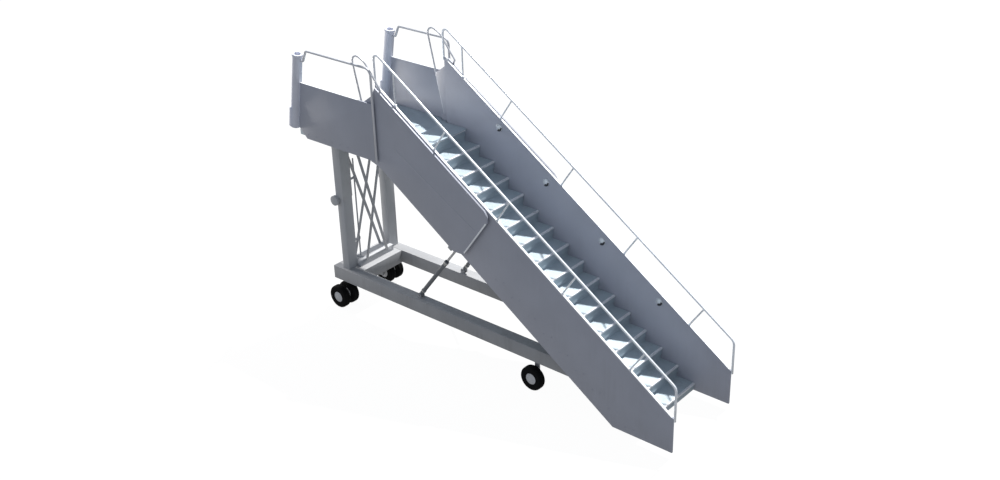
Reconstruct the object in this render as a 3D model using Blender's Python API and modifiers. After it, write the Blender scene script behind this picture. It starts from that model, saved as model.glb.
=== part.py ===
"""Towable aircraft passenger stairs, with a lifting platform and a telescoping flight.

The frame: +Z is up, X runs along the stairs with the foot of the flight at +X, and Y runs across them
with the near side at -Y. The origin is on the ground, under the middle of the whole machine. Lengths
are in metres. Distances called "back" are measured from the foot of the flight towards -X.
"""

import math

import bmesh
import bpy
from mathutils import Matrix, Vector

# Fits
GAP = 0.0003  # between pieces that touch
RUN_GAP = 0.003  # between pieces that slide past each other

# Flight of treads
FOOT_X = 3.642
TREAD_COUNT = 16
TREAD_RISE = 0.200
TREAD_GOING = 0.2935
FIRST_TREAD_BACK = 0.585
FIRST_TREAD_TOP = 0.220
TREAD_BACK_HEIGHT = 0.095
TREAD_BACK_THICKNESS = 0.012
TREAD_THICKNESS = 0.035
TREAD_NOSE = 0.015
TREAD_LIP_DEPTH = 0.120
TREAD_LIP_THICKNESS = 0.012
TREAD_LIP_INSET = 0.012
STAIR_WIDTH = 1.480  # clear width between the lower side panels

# Lower side panels
PANEL_THICKNESS = 0.030
PANEL_FOOT_HEIGHT = 0.090
PANEL_FRONT_TOP = 0.664
PANEL_FOOT_LENGTH = 1.008
PANEL_TOP_MARGIN = 0.099  # from the last tread's back to the panels' top end

# Pivot of the flight on the chassis
PIVOT_BACK = 1.000
PIVOT_HEIGHT = 0.250
PIVOT_SHAFT_RADIUS = 0.025
ARM_THICKNESS = 0.030
ARM_EYE_RADIUS = 0.050
ARM_TREAD_GAP = 0.025
ARM_TREADS = (2, 1)  # the treads that the arms pass under, counted from 0

# Handrails
RAIL_RADIUS = 0.018
RAIL_HEIGHT = 0.424  # square to the slope, above the panels' top edge
RAIL_FOOT_OVERLAP = 0.045
RAIL_BEND = 0.120
POST_RADIUS = 0.013
RAIL_POST_FIRST_BACK = 0.740
RAIL_POST_SPACING = 1.175
RAIL_POST_COUNT = 4
TOP_POST_BACK_FROM_TOP = 0.370
RAIL_TOP_BEND = 0.070

# Upper side panels, which slide outside the lower ones
UPPER_GAP = 0.030
UPPER_LENGTH = 2.080  # level length of the straight top edge
UPPER_TOP_DROP = 0.006
UPPER_SKIRT = 0.030  # how far their lower edge hangs below the lower panels' edge
UPPER_NOSE_LENGTH = 0.050
UPPER_NOSE_DROP = 0.045
UPPER_NOSE_FACE = 0.103
UPPER_END_HEIGHT = 0.116
UPPER_END_LENGTH = 0.430
UPPER_HEEL_LENGTH = 0.640
UPPER_TAIL_LENGTH = 0.190
UPPER_TAIL_RISE = 0.085  # tail above the platform floor
GUARD_RISE = 0.770  # the guard plate's rear corner above the platform floor
GUARD_FRONT_RISE = 0.920
GUARD_FRONT_LENGTH = 0.080
HOOP_RADIUS = 0.0145
HOOP_BEND = 0.100
HOOP_OUTSET = 0.0085  # the hoops stand this far outside the upper panels' middle
HOOP_FOOT_BACK = 0.149  # behind the upper panels' top end
HOOP_LEAN = 0.220  # the rear leg's run over its rise
HOOP_CROWN_RISE = 1.560  # the corner that the rear leg's line meets
HOOP_CROWN_LENGTH = 0.290
HOOP_CROWN_DROP = 0.120
HOOP_SEAT_FORWARD = 0.090
HOOP_SEAT_RISE = 0.060

# Cross beam under the upper panels
BEAM_LENGTH = 0.080
BEAM_DEPTH = 0.040
BEAM_BACK_FROM_END = 0.020
LUG_THICKNESS = 0.015
LUG_REACH = 0.090
LUG_EYE_RADIUS = 0.028

# Platform
LANDING_STEP = 0.020  # platform floor above the last tread
LANDING_THICKNESS = 0.012
LANDING_NOSE = 0.028  # landing plate beyond the last tread's nose
DECK_GAP = 0.040  # from the panels' top end to the deck
DECK_LENGTH = 1.680  # on the near side
DECK_SKEW = 0.310  # how much shorter the far side is
DECK_DEPTH = 0.090
DECK_SHEET = 0.008
WALL_THICKNESS = 0.020
WALL_OUTSIDE = 0.870
WALL_HEIGHT = 0.810
WALL_DROP = 0.125
WALL_CHAMFER = 0.170
PLATFORM_RAIL_HEIGHT = 1.360
PLATFORM_RAIL_RADIUS = 0.019
PLATFORM_RAIL_BEND = 0.100
PLATFORM_RAIL_DROP = 0.180  # from the rail to where it meets the bumper post
BUMPER_RADIUS = 0.080
BUMPER_LEAN = math.radians(10)
BUMPER_LENGTH = 1.270
BUMPER_OUTSET = 0.090  # beyond the deck's front edge
BUMPER_FOOT_RISE = 0.030
BUMPER_PAD_RADIUS = 0.088
BUMPER_PAD_OFFSET = 0.028
BUMPER_PAD_START = 0.010
BUMPER_PAD_LENGTH = 0.330
BUMPER_CAP_RADIUS = 0.088
BUMPER_CAP_LENGTH = 0.035
BUMPER_CUP_RADIUS = 0.055
BUMPER_CUP_DEPTH = 0.050
HANGER_RADIUS = 0.030
HANGER_DROP = 0.070

# Chassis
RAIL_INSIDE = 0.450
RAIL_WIDTH = 0.185
CHASSIS_BOTTOM = 0.520
CHASSIS_DEPTH = 0.228
CHASSIS_WALL = 0.006
CHASSIS_FRONT_BACK = 1.900
CHASSIS_REAR_FROM_DECK = 1.440
REAR_CROSS_LENGTH = 0.540
FRONT_CROSS_LENGTH = 0.140

# Mast
MAST_FROM_DECK = 1.185
MAST_LENGTH = 0.140
MAST_INSIDE = 0.385
MAST_WIDTH = 0.200
MAST_WALL = 0.006
SLEEVE_WALL = 0.009
SLEEVE_LENGTH = 1.180
COLUMN_TOP_GAP = 0.180
SHEAVE_RADIUS = 0.085
SHEAVE_THICKNESS = 0.050
SHEAVE_RISE = -0.050
SHEAVE_INSET = 0.010
BASE_BEAM_DEPTH = 0.100
HEADER_DEPTH = 0.080
HEADER_DROP = 0.100
BRACE_WIDTH = 0.050
BRACE_THICKNESS = 0.012
BRACE_STANDOFF = 0.085  # of the front cross, ahead of the columns
FRONT_BRACE_FOOT = 0.242
FRONT_BRACE_HEAD = 0.300
REAR_BRACE_FOOT = 0.310
REAR_BRACE_HEAD = 0.353

# Rams
RAM_FOOT_BACK = 4.950
RAM_SIDE = 0.520
RAM_EYE_RISE = 0.052
RAM_EYE_RADIUS = 0.034
RAM_EYE_WIDTH = 0.060
RAM_PIN_RADIUS = 0.015
RAM_BARREL_RADIUS = 0.034
RAM_ROD_RADIUS = 0.020
RAM_BARREL_LENGTH = 1.000
RAM_ROD_LENGTH = 1.080
RAM_BASE = 0.075
RAM_NECK_RADIUS = 0.026
RAM_NECK_END = 0.045
RAM_LUG_THICKNESS = 0.015

# Wheels
WHEEL_RADIUS = 0.200
TYRE_WIDTH = 0.120
TYRE_SHOULDER = 0.030
WHEEL_DISC_RADIUS = 0.092
WHEEL_DISC_INSET = 0.006
AXLE_RADIUS = 0.030
AXLE_END = 0.050  # hub metal outside the axle's end
AXLE_PLAY = 0.0009  # round the stub axle, so that its facets turn freely
FRONT_AXLE_BACK = 2.604
REAR_AXLE_FROM_DECK = 1.330
FRONT_WHEEL_SIDE = 0.600
REAR_WHEEL_SIDES = (0.445, 0.645)
TWIN_HUB_WAIST = 0.055
AXLE_ARM_LENGTH = 0.080
AXLE_ARM_THICKNESS = 0.030
AXLE_BEAM_DEPTH = 0.060
FRONT_ARM_SIDE = 0.485
REAR_ARM_SIDE = 0.350

# Fineness of round shapes
TURN_STEPS = 20
BEND_STEPS = 4
TUBE_RESOLUTION = 2

# Worked out from the sizes above
SLOPE = TREAD_RISE / TREAD_GOING
SLOPE_ANGLE = math.atan(SLOPE)
TREAD_OVERLAP = TREAD_LIP_INSET + TREAD_LIP_THICKNESS + TREAD_BACK_THICKNESS + 2 * GAP
ALONG = Vector((-math.cos(SLOPE_ANGLE), 0, math.sin(SLOPE_ANGLE)))
SQUARE = Vector((math.sin(SLOPE_ANGLE), 0, math.cos(SLOPE_ANGLE)))
FLIGHT_BACK = FIRST_TREAD_BACK + TREAD_COUNT * TREAD_GOING + PANEL_TOP_MARGIN
LAST_TREAD = TREAD_COUNT - 1
LAST_TREAD_BACK = FIRST_TREAD_BACK + LAST_TREAD * TREAD_GOING
FLOOR = FIRST_TREAD_TOP + LAST_TREAD * TREAD_RISE + LANDING_STEP
DECK_BACK = FLIGHT_BACK + DECK_GAP
PANEL_INSIDE = STAIR_WIDTH / 2
PANEL_MIDDLE = PANEL_INSIDE + PANEL_THICKNESS / 2
UPPER_INSIDE = PANEL_INSIDE + PANEL_THICKNESS + UPPER_GAP
UPPER_MIDDLE = UPPER_INSIDE + PANEL_THICKNESS / 2
UPPER_TOP_BACK = FLIGHT_BACK - PANEL_THICKNESS
UPPER_END_BACK = UPPER_TOP_BACK - UPPER_LENGTH
WALL_MIDDLE = WALL_OUTSIDE - WALL_THICKNESS / 2
CHASSIS_TOP = CHASSIS_BOTTOM + CHASSIS_DEPTH
CHASSIS_REAR_BACK = DECK_BACK + CHASSIS_REAR_FROM_DECK
MAST_BACK = DECK_BACK + MAST_FROM_DECK
REAR_AXLE_BACK = DECK_BACK + REAR_AXLE_FROM_DECK
SIDES = (("near", -1), ("far", 1))

COLOURS = {
    "panel_paint": ((0.36, 0.39, 0.45), 0.45, 0.2),
    "tread_metal": ((0.55, 0.60, 0.64), 0.40, 0.6),
    "rail_metal": ((0.80, 0.83, 0.86), 0.25, 0.9),
    "chassis_paint": ((0.42, 0.43, 0.44), 0.50, 0.1),
    "mast_paint": ((0.50, 0.52, 0.55), 0.45, 0.2),
    "ram_paint": ((0.10, 0.11, 0.12), 0.40, 0.3),
    "ram_rod": ((0.70, 0.72, 0.74), 0.15, 1.0),
    "bumper_rubber": ((0.34, 0.36, 0.40), 0.70, 0.0),
    "tyre_rubber": ((0.012, 0.012, 0.013), 0.80, 0.0),
    "wheel_paint": ((0.62, 0.62, 0.63), 0.45, 0.1),
}


def back(distance):
    """The X of a point this far behind the foot of the flight."""
    return FOOT_X - distance


def panel_top(distance):
    """The height of the lower panels' top edge at this distance back."""
    return PANEL_FRONT_TOP + SLOPE * distance


def panel_bottom(distance):
    """The height of the lower panels' sloping lower edge at this distance back."""
    return PANEL_FOOT_HEIGHT + SLOPE * (distance - PANEL_FOOT_LENGTH)


def clear_scene():
    for obj in list(bpy.data.objects):
        bpy.data.objects.remove(obj, do_unlink=True)


def new_collection(name):
    collection = bpy.data.collections.new(name)
    bpy.context.scene.collection.children.link(collection)
    return collection


def new_material(name):
    colour, roughness, metallic = COLOURS[name]
    material = bpy.data.materials.new(name)
    material.use_nodes = True
    shader = material.node_tree.nodes["Principled BSDF"]
    shader.inputs["Base Color"].default_value = (*colour, 1)
    shader.inputs["Roughness"].default_value = roughness
    shader.inputs["Metallic"].default_value = metallic
    return material


clear_scene()
PARTS = new_collection("passenger_stairs")
JOINED = new_collection("joined_shapes")
MATERIALS = {name: new_material(name) for name in COLOURS}


def new_object(name, data, material):
    obj = bpy.data.objects.new(name, data)
    PARTS.objects.link(obj)
    if not data.materials:
        data.materials.append(MATERIALS[material])
    return obj


def new_pivot(name, location):
    """An empty on a joint's axis, for the pieces that move about it."""
    pivot = bpy.data.objects.new(name, None)
    pivot.location = location
    PARTS.objects.link(pivot)
    return pivot


def carry(pivot, *pieces):
    """Parents the pieces to the pivot without moving them."""
    for piece in pieces:
        piece.parent = pivot
        piece.matrix_parent_inverse = Matrix.Translation(pivot.location).inverted()


def box(name, low, high, material):
    size = Vector(high) - Vector(low)
    middle = (Vector(high) + Vector(low)) / 2
    shape = bmesh.new()
    bmesh.ops.create_cube(shape, size=1, matrix=Matrix.LocRotScale(middle, None, size))
    mesh = bpy.data.meshes.new(name)
    shape.to_mesh(mesh)
    shape.free()
    return new_object(name, mesh, material)


def cylinder(name, start, end, radius, material):
    """A closed round bar between two points."""
    start, end = Vector(start), Vector(end)
    turn = (end - start).to_track_quat("Z", "Y")
    place = Matrix.LocRotScale((start + end) / 2, turn, None)
    shape = bmesh.new()
    bmesh.ops.create_cone(
        shape,
        cap_ends=True,
        segments=TURN_STEPS,
        radius1=radius,
        radius2=radius,
        depth=(end - start).length,
        matrix=place,
    )
    mesh = bpy.data.meshes.new(name)
    shape.to_mesh(mesh)
    shape.free()
    return new_object(name, mesh, material)


def mesh_from_curve(curve_object):
    """Replaces a curve object by a mesh object whose caps are welded."""
    bpy.context.view_layer.update()
    graph = bpy.context.evaluated_depsgraph_get()
    mesh = bpy.data.meshes.new_from_object(curve_object.evaluated_get(graph))
    shape = bmesh.new()
    shape.from_mesh(mesh)
    bmesh.ops.remove_doubles(shape, verts=shape.verts, dist=1e-5)
    shape.transform(curve_object.matrix_world)
    shape.to_mesh(mesh)
    shape.free()
    name = curve_object.name
    curve = curve_object.data
    bpy.data.objects.remove(curve_object)
    bpy.data.curves.remove(curve)
    obj = bpy.data.objects.new(name, mesh)
    PARTS.objects.link(obj)
    return obj


def extrusion(name, outlines, thickness, middle, turn, material):
    """A flat outline, with holes after the first, made thick along its own local Z."""
    curve = bpy.data.curves.new(name, "CURVE")
    curve.dimensions = "2D"
    curve.fill_mode = "BOTH"
    curve.extrude = thickness / 2
    for outline in outlines:
        spline = curve.splines.new("POLY")
        spline.points.add(len(outline) - 1)
        for point, (across, up) in zip(spline.points, outline):
            point.co = (across, up, 0, 1)
        spline.use_cyclic_u = True
    obj = new_object(name, curve, material)
    obj.location = middle
    obj.rotation_euler = turn
    return mesh_from_curve(obj)


def side_plate(name, outlines, thickness, middle_y, material):
    """A plate that stands in the X-Z plane, from outlines given as X and Z."""
    turn = (math.pi / 2, 0, 0)
    return extrusion(name, outlines, thickness, (0, middle_y, 0), turn, material)


def cross_tube(name, low, high, wall, material):
    """A rectangular tube that runs across the machine, open at both ends."""
    (x0, y0, z0), (x1, y1, z1) = low, high
    outer = rectangle(x0, z0, x1, z1)
    inner = rectangle(x0 + wall, z0 + wall, x1 - wall, z1 - wall)
    return side_plate(name, [outer, inner], y1 - y0, (y0 + y1) / 2, material)


def long_tube(name, low, high, wall, material):
    """A rectangular tube that runs along the machine, open at both ends."""
    (x0, y0, z0), (x1, y1, z1) = low, high
    outer = rectangle(y0, z0, y1, z1)
    inner = rectangle(y0 + wall, z0 + wall, y1 - wall, z1 - wall)
    middle = ((x0 + x1) / 2, 0, 0)
    turn = (math.pi / 2, 0, math.pi / 2)
    return extrusion(name, [outer, inner], x1 - x0, middle, turn, material)


def upright(name, outlines, bottom, top, material):
    """A vertical section, from outlines given as X and Y."""
    middle = (0, 0, (bottom + top) / 2)
    return extrusion(name, outlines, top - bottom, middle, (0, 0, 0), material)


def rectangle(x0, z0, x1, z1):
    return [(x0, z0), (x1, z0), (x1, z1), (x0, z1)]


def circle(x, z, radius, steps=TURN_STEPS):
    turns = [2 * math.pi * step / steps for step in range(steps)]
    return [(x + radius * math.cos(turn), z + radius * math.sin(turn)) for turn in turns]


def arc(x, z, radius, start, end, steps=BEND_STEPS):
    """Points of an arc about (x, z), from one angle to another."""
    turns = [start + (end - start) * step / steps for step in range(steps + 1)]
    return [(x + radius * math.cos(turn), z + radius * math.sin(turn)) for turn in turns]


def bend(points, radii):
    """The path with each inner corner replaced by an arc of the given radius."""
    points = [Vector(point) for point in points]
    path = [points[0]]
    for before, corner, after, radius in zip(points, points[1:], points[2:], radii):
        arriving = (corner - before).normalized()
        leaving = (after - corner).normalized()
        turn = arriving.angle(leaving)
        reach = radius * math.tan(turn / 2)
        start = corner - arriving * reach
        inward = (leaving - arriving * arriving.dot(leaving)).normalized()
        for step in range(BEND_STEPS + 1):
            angle = turn * step / BEND_STEPS
            ahead = arriving * (radius * math.sin(angle))
            aside = inward * (radius * (1 - math.cos(angle)))
            path.append(start + ahead + aside)
    return [*path, points[-1]]


def tube(name, path, radius, material):
    """A round bar bent along the path, as a mesh."""
    curve = bpy.data.curves.new(name, "CURVE")
    curve.dimensions = "3D"
    curve.bevel_depth = radius
    curve.bevel_resolution = TUBE_RESOLUTION
    curve.use_fill_caps = True
    spline = curve.splines.new("POLY")
    spline.points.add(len(path) - 1)
    for point, place in zip(spline.points, path):
        point.co = (*place, 1)
    obj = mesh_from_curve(new_object(name, curve, material))
    smooth(obj)
    return obj


def smooth(obj):
    obj.data.shade_smooth()
    obj.data.set_sharp_from_angle(angle=math.radians(40))


def turned(name, profile, place, material):
    """A profile of (radius, height) pairs, turned about local Z and then put in place."""
    mesh = bpy.data.meshes.new(name)
    points = [(radius, 0, height) for radius, height in profile]
    mesh.from_pydata(points, [(i, i + 1) for i in range(len(points) - 1)], [])
    obj = new_object(name, mesh, material)
    obj.matrix_world = place
    screw = obj.modifiers.new("turn", "SCREW")
    screw.steps = TURN_STEPS
    screw.render_steps = TURN_STEPS
    screw.use_merge_vertices = True
    screw.merge_threshold = 0.0001
    screw.use_smooth_shade = False
    return obj


def join(base, *tools):
    """Unites the tools with the base, and leaves them as hidden helpers."""
    for tool in tools:
        PARTS.objects.unlink(tool)
        JOINED.objects.link(tool)
        tool.hide_render = True
        tool.display_type = "WIRE"
        union = base.modifiers.new(tool.name, "BOOLEAN")
        union.operation = "UNION"
        union.solver = "EXACT"
        union.object = tool
    return base


# Chassis


def chassis_rail(side, sign):
    """A long box rail with two lugs on top for the ram's foot."""
    inner, outer = sorted((sign * RAIL_INSIDE, sign * (RAIL_INSIDE + RAIL_WIDTH)))
    low = (back(CHASSIS_REAR_BACK), inner, CHASSIS_BOTTOM)
    high = (back(CHASSIS_FRONT_BACK), outer, CHASSIS_TOP)
    rail = long_tube(f"chassis_rail_{side}", low, high, CHASSIS_WALL, "chassis_paint")
    x, z = back(RAM_FOOT_BACK), CHASSIS_TOP + RAM_EYE_RISE
    foot = CHASSIS_TOP - CHASSIS_WALL / 2
    crown = arc(x, z, RAM_EYE_RADIUS, 0, math.pi)
    outline = [(x - RAM_EYE_RADIUS, foot), (x + RAM_EYE_RADIUS, foot), *crown]
    hole = circle(x, z, RAM_PIN_RADIUS + GAP)
    reach = RAM_EYE_WIDTH / 2 + GAP + RAM_LUG_THICKNESS / 2
    lugs = [
        side_plate(
            f"ram_lug_{side}_{place}",
            [outline, hole],
            RAM_LUG_THICKNESS,
            sign * RAM_SIDE + offset,
            "chassis_paint",
        )
        for place, offset in (("a", -reach), ("b", reach))
    ]
    return join(rail, *lugs)


def rear_cross_member():
    reach = RAIL_INSIDE - GAP
    low = (back(CHASSIS_REAR_BACK), -reach, CHASSIS_BOTTOM)
    high = (back(CHASSIS_REAR_BACK - REAR_CROSS_LENGTH), reach, CHASSIS_TOP)
    return cross_tube("rear_cross_member", low, high, CHASSIS_WALL, "chassis_paint")


def front_yoke():
    """The front cross tube, with an arm at each end that reaches forward to the flight's pivot."""
    reach = RAIL_INSIDE + RAIL_WIDTH
    front = back(CHASSIS_FRONT_BACK - FRONT_CROSS_LENGTH)
    low = (back(CHASSIS_FRONT_BACK) + GAP, -reach, CHASSIS_BOTTOM)
    high = (front, reach, CHASSIS_TOP)
    cross = cross_tube("front_yoke", low, high, CHASSIS_WALL, "chassis_paint")
    x, z = back(PIVOT_BACK), PIVOT_HEIGHT
    margin = 2 * CHASSIS_WALL
    knees = []
    for step in ARM_TREADS:
        rear = FIRST_TREAD_BACK + (step + 1) * TREAD_GOING + TREAD_OVERLAP
        under = FIRST_TREAD_TOP + step * TREAD_RISE - TREAD_THICKNESS - ARM_TREAD_GAP
        knees.append((back(rear), under))
    eye = arc(x, z, ARM_EYE_RADIUS, math.pi / 3, -2 * math.pi / 3, 2 * BEND_STEPS)
    root = front - CHASSIS_WALL / 2
    outline = [(root, CHASSIS_BOTTOM + margin), (root, CHASSIS_TOP - margin), *knees, *eye]
    hole = circle(x, z, PIVOT_SHAFT_RADIUS + GAP)
    middle = reach - ARM_THICKNESS / 2 - margin
    arms = [
        side_plate(f"pivot_arm_{side}", [outline, hole], ARM_THICKNESS, sign * middle, "chassis_paint")
        for side, sign in SIDES
    ]
    return join(cross, *arms)


def axle(name, x, end, arm_side):
    """A cross beam under the chassis, with an arm at each side that carries a stub axle."""
    half = AXLE_ARM_LENGTH / 2
    top = CHASSIS_BOTTOM - GAP
    reach = arm_side + AXLE_ARM_THICKNESS / 2
    low = (x - half, -reach, top - AXLE_BEAM_DEPTH)
    beam = box(name, low, (x + half, reach, top), "chassis_paint")
    for side, sign in SIDES:
        y0, y1 = sorted((sign * (reach - AXLE_ARM_THICKNESS), sign * reach))
        low = (x - half + GAP, y0, WHEEL_RADIUS - AXLE_RADIUS)
        high = (x + half - GAP, y1, top - AXLE_BEAM_DEPTH / 2)
        arm = box(f"{name}_arm_{side}", low, high, "chassis_paint")
        start = (x, sign * arm_side, WHEEL_RADIUS)
        stub = cylinder(
            f"{name}_stub_{side}", start, (x, sign * end, WHEEL_RADIUS), AXLE_RADIUS, "chassis_paint"
        )
        join(beam, arm, stub)
    return beam


# Wheels


def wheel_place(x, y, sign):
    """Local Z points outwards across the machine."""
    turn = Matrix.Rotation(-sign * math.pi / 2, 4, "X")
    return Matrix.Translation((x, y, WHEEL_RADIUS)) @ turn


def tyre(name, x, y, sign):
    half = TYRE_WIDTH / 2
    inner = WHEEL_DISC_RADIUS + GAP
    shoulder = WHEEL_RADIUS - TYRE_SHOULDER
    side = half - TYRE_SHOULDER
    upper = arc(shoulder, side, TYRE_SHOULDER, math.pi / 2, 0)
    lower = arc(shoulder, -side, TYRE_SHOULDER, 0, -math.pi / 2)
    profile = [(inner, -half), (inner, half), *upper, *lower, (inner, -half)]
    return turned(name, profile, wheel_place(x, y, sign), "tyre_rubber")


def front_hub(name, x, y, sign):
    half = TYRE_WIDTH / 2 - WHEEL_DISC_INSET
    bore = AXLE_RADIUS + AXLE_PLAY
    profile = [
        (0, half - AXLE_END),
        (bore, half - AXLE_END),
        (bore, -half),
        (WHEEL_DISC_RADIUS, -half),
        (WHEEL_DISC_RADIUS, half),
        (0, half),
    ]
    return turned(name, profile[::-1], wheel_place(x, y, sign), "wheel_paint")


def twin_hub(name, x, sign):
    """One spool that carries both tyres of a rear pair."""
    inner_side, outer_side = REAR_WHEEL_SIDES
    middle = (inner_side + outer_side) / 2
    reach = (outer_side - inner_side) / 2
    half = TYRE_WIDTH / 2
    end = reach + half - WHEEL_DISC_INSET
    waist = reach - half
    bore = AXLE_RADIUS + AXLE_PLAY
    profile = [
        (0, end),
        (WHEEL_DISC_RADIUS, end),
        (WHEEL_DISC_RADIUS, waist),
        (TWIN_HUB_WAIST, waist),
        (TWIN_HUB_WAIST, -waist),
        (WHEEL_DISC_RADIUS, -waist),
        (WHEEL_DISC_RADIUS, -end),
        (bore, -end),
        (bore, end - AXLE_END),
        (0, end - AXLE_END),
    ]
    return turned(name, profile, wheel_place(x, sign * middle, sign), "wheel_paint")


def front_wheel(side, sign):
    x, y = back(FRONT_AXLE_BACK), sign * FRONT_WHEEL_SIDE
    pivot = new_pivot(f"front_axle_end_{side}", (x, y, WHEEL_RADIUS))
    rubber = tyre(f"front_tyre_{side}", x, y, sign)
    hub = front_hub(f"front_wheel_{side}", x, y, sign)
    carry(pivot, rubber, hub)


def rear_wheels(side, sign):
    x = back(REAR_AXLE_BACK)
    pivot = new_pivot(f"rear_axle_end_{side}", (x, sign * REAR_WHEEL_SIDES[0], WHEEL_RADIUS))
    for place, distance in zip(("inner", "outer"), REAR_WHEEL_SIDES):
        carry(pivot, tyre(f"rear_tyre_{side}_{place}", x, sign * distance, sign))
    carry(pivot, twin_hub(f"rear_twin_wheel_{side}", x, sign))


# Mast


def mast_column(side, sign):
    """The fixed lower column, a box tube that stands on the chassis rail."""
    x0, x1 = back(MAST_BACK) - MAST_LENGTH / 2, back(MAST_BACK) + MAST_LENGTH / 2
    y0, y1 = sorted((sign * MAST_INSIDE, sign * (MAST_INSIDE + MAST_WIDTH)))
    outer = rectangle(x0, y0, x1, y1)
    inner = rectangle(x0 + MAST_WALL, y0 + MAST_WALL, x1 - MAST_WALL, y1 - MAST_WALL)
    top = FLOOR - DECK_SHEET - COLUMN_TOP_GAP
    return upright(f"mast_column_{side}", [outer, inner], CHASSIS_TOP + GAP, top, "mast_paint")


def mast_sleeve(side, sign):
    """The lifting channel round a column, open on the side that faces the other one."""
    play = MAST_LENGTH / 2 + RUN_GAP
    x = back(MAST_BACK)
    open_edge = sign * MAST_INSIDE
    web = sign * (MAST_INSIDE + MAST_WIDTH + RUN_GAP)
    skin = web + sign * SLEEVE_WALL
    outline = [
        (x + play, open_edge),
        (x + play + SLEEVE_WALL, open_edge),
        (x + play + SLEEVE_WALL, skin),
        (x - play - SLEEVE_WALL, skin),
        (x - play - SLEEVE_WALL, open_edge),
        (x - play, open_edge),
        (x - play, web),
        (x + play, web),
    ]
    top = FLOOR - DECK_SHEET - 3 * GAP
    bottom = top - SLEEVE_LENGTH
    sleeve = upright(f"mast_sleeve_{side}", [outline], bottom, top, "mast_paint")
    axle_x = x - play - SHEAVE_INSET
    height = bottom + SHEAVE_RISE
    start = (axle_x, web + sign * SLEEVE_WALL / 2, height)
    end = (axle_x, skin + sign * SHEAVE_THICKNESS, height)
    sheave = cylinder(f"mast_sheave_{side}", start, end, SHEAVE_RADIUS, "mast_paint")
    return join(sleeve, sheave)


def brace_bar(name, x, foot, head, bottom, top):
    """A flat bar that leans across the mast, from one side's foot to the other side's head."""
    lean = math.atan2(head - foot, top - bottom)
    half = BRACE_WIDTH / 2 / math.cos(lean)
    outline = [(foot - half, bottom), (foot + half, bottom), (head + half, top), (head - half, top)]
    turn = (math.pi / 2, 0, math.pi / 2)
    return extrusion(name, [outline], BRACE_THICKNESS, (x, 0, 0), turn, "mast_paint")


def mast_bracing():
    """The base beam with the front cross, and the header with the rear cross."""
    x = back(MAST_BACK)
    half = MAST_LENGTH / 2
    reach = MAST_INSIDE - GAP
    bottom = CHASSIS_TOP + GAP
    header_top = FLOOR - DECK_SHEET - COLUMN_TOP_GAP - HEADER_DROP
    header_bottom = header_top - HEADER_DEPTH
    base = box(
        "mast_base_brace",
        (x - half, -reach, bottom),
        (x + half + BRACE_STANDOFF, reach, bottom + BASE_BEAM_DEPTH),
        "mast_paint",
    )
    header = box(
        "mast_header_brace",
        (x - half - 2 * GAP, -reach, header_bottom),
        (x + half, reach, header_top),
        "mast_paint",
    )
    front_x = x + half + BRACE_STANDOFF - BRACE_THICKNESS / 2 + GAP
    rear_x = x - half - BRACE_THICKNESS / 2 - GAP
    low, high = bottom + BASE_BEAM_DEPTH / 2, header_bottom + HEADER_DEPTH / 2
    front_bars = [
        brace_bar(f"front_brace_{side}", front_x, s * FRONT_BRACE_FOOT, -s * FRONT_BRACE_HEAD, low, high)
        for side, s in SIDES
    ]
    rear_bars = [
        brace_bar(f"rear_brace_{side}", rear_x, s * REAR_BRACE_FOOT, -s * REAR_BRACE_HEAD, low, high)
        for side, s in SIDES
    ]
    join(base, *front_bars)
    join(header, *rear_bars)


# Lower stair section


def lower_panel(side, sign):
    top = FLIGHT_BACK
    outline = [
        (back(0), PANEL_FOOT_HEIGHT),
        (back(0), PANEL_FRONT_TOP),
        (back(top), panel_top(top)),
        (back(top), panel_bottom(top)),
        (back(PANEL_FOOT_LENGTH), PANEL_FOOT_HEIGHT),
    ]
    name = f"lower_side_panel_{side}"
    return side_plate(name, [outline], PANEL_THICKNESS, sign * PANEL_MIDDLE, "panel_paint")


def tread_outline(has_back):
    """A plate with a rounded nose, a front lip under it and, below another tread, an upstand behind."""
    rear = -(TREAD_GOING + TREAD_OVERLAP)
    lip = -TREAD_LIP_INSET
    behind = [(rear, 0)]
    if has_back:
        inner = rear + TREAD_BACK_THICKNESS
        behind = [(rear, TREAD_BACK_HEIGHT), (inner, TREAD_BACK_HEIGHT), (inner, 0)]
    nose = arc(-TREAD_NOSE, -TREAD_NOSE, TREAD_NOSE, math.pi / 2, 0, 3)
    return [
        *behind,
        *nose,
        (0, -TREAD_THICKNESS),
        (lip, -TREAD_THICKNESS - TREAD_LIP_INSET),
        (lip, -TREAD_LIP_DEPTH),
        (lip - TREAD_LIP_THICKNESS, -TREAD_LIP_DEPTH),
        (lip - TREAD_LIP_THICKNESS, -TREAD_THICKNESS),
        (rear, -TREAD_THICKNESS),
    ]


def treads():
    """The treads from the foot up. The last one has no upstand, so that the landing plate lies over it."""
    width = STAIR_WIDTH - 2 * GAP
    first = side_plate("tread_01", [tread_outline(True)], width, 0, "tread_metal")
    middle = [
        new_object(f"tread_{step + 1:02d}", first.data, "tread_metal")
        for step in range(1, LAST_TREAD)
    ]
    last_name = f"tread_{TREAD_COUNT:02d}"
    last = side_plate(last_name, [tread_outline(False)], width, 0, "tread_metal")
    made = [first, *middle, last]
    for step, tread in enumerate(made):
        x = back(FIRST_TREAD_BACK + step * TREAD_GOING)
        tread.location = (x, 0, FIRST_TREAD_TOP + step * TREAD_RISE)
    return made


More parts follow.
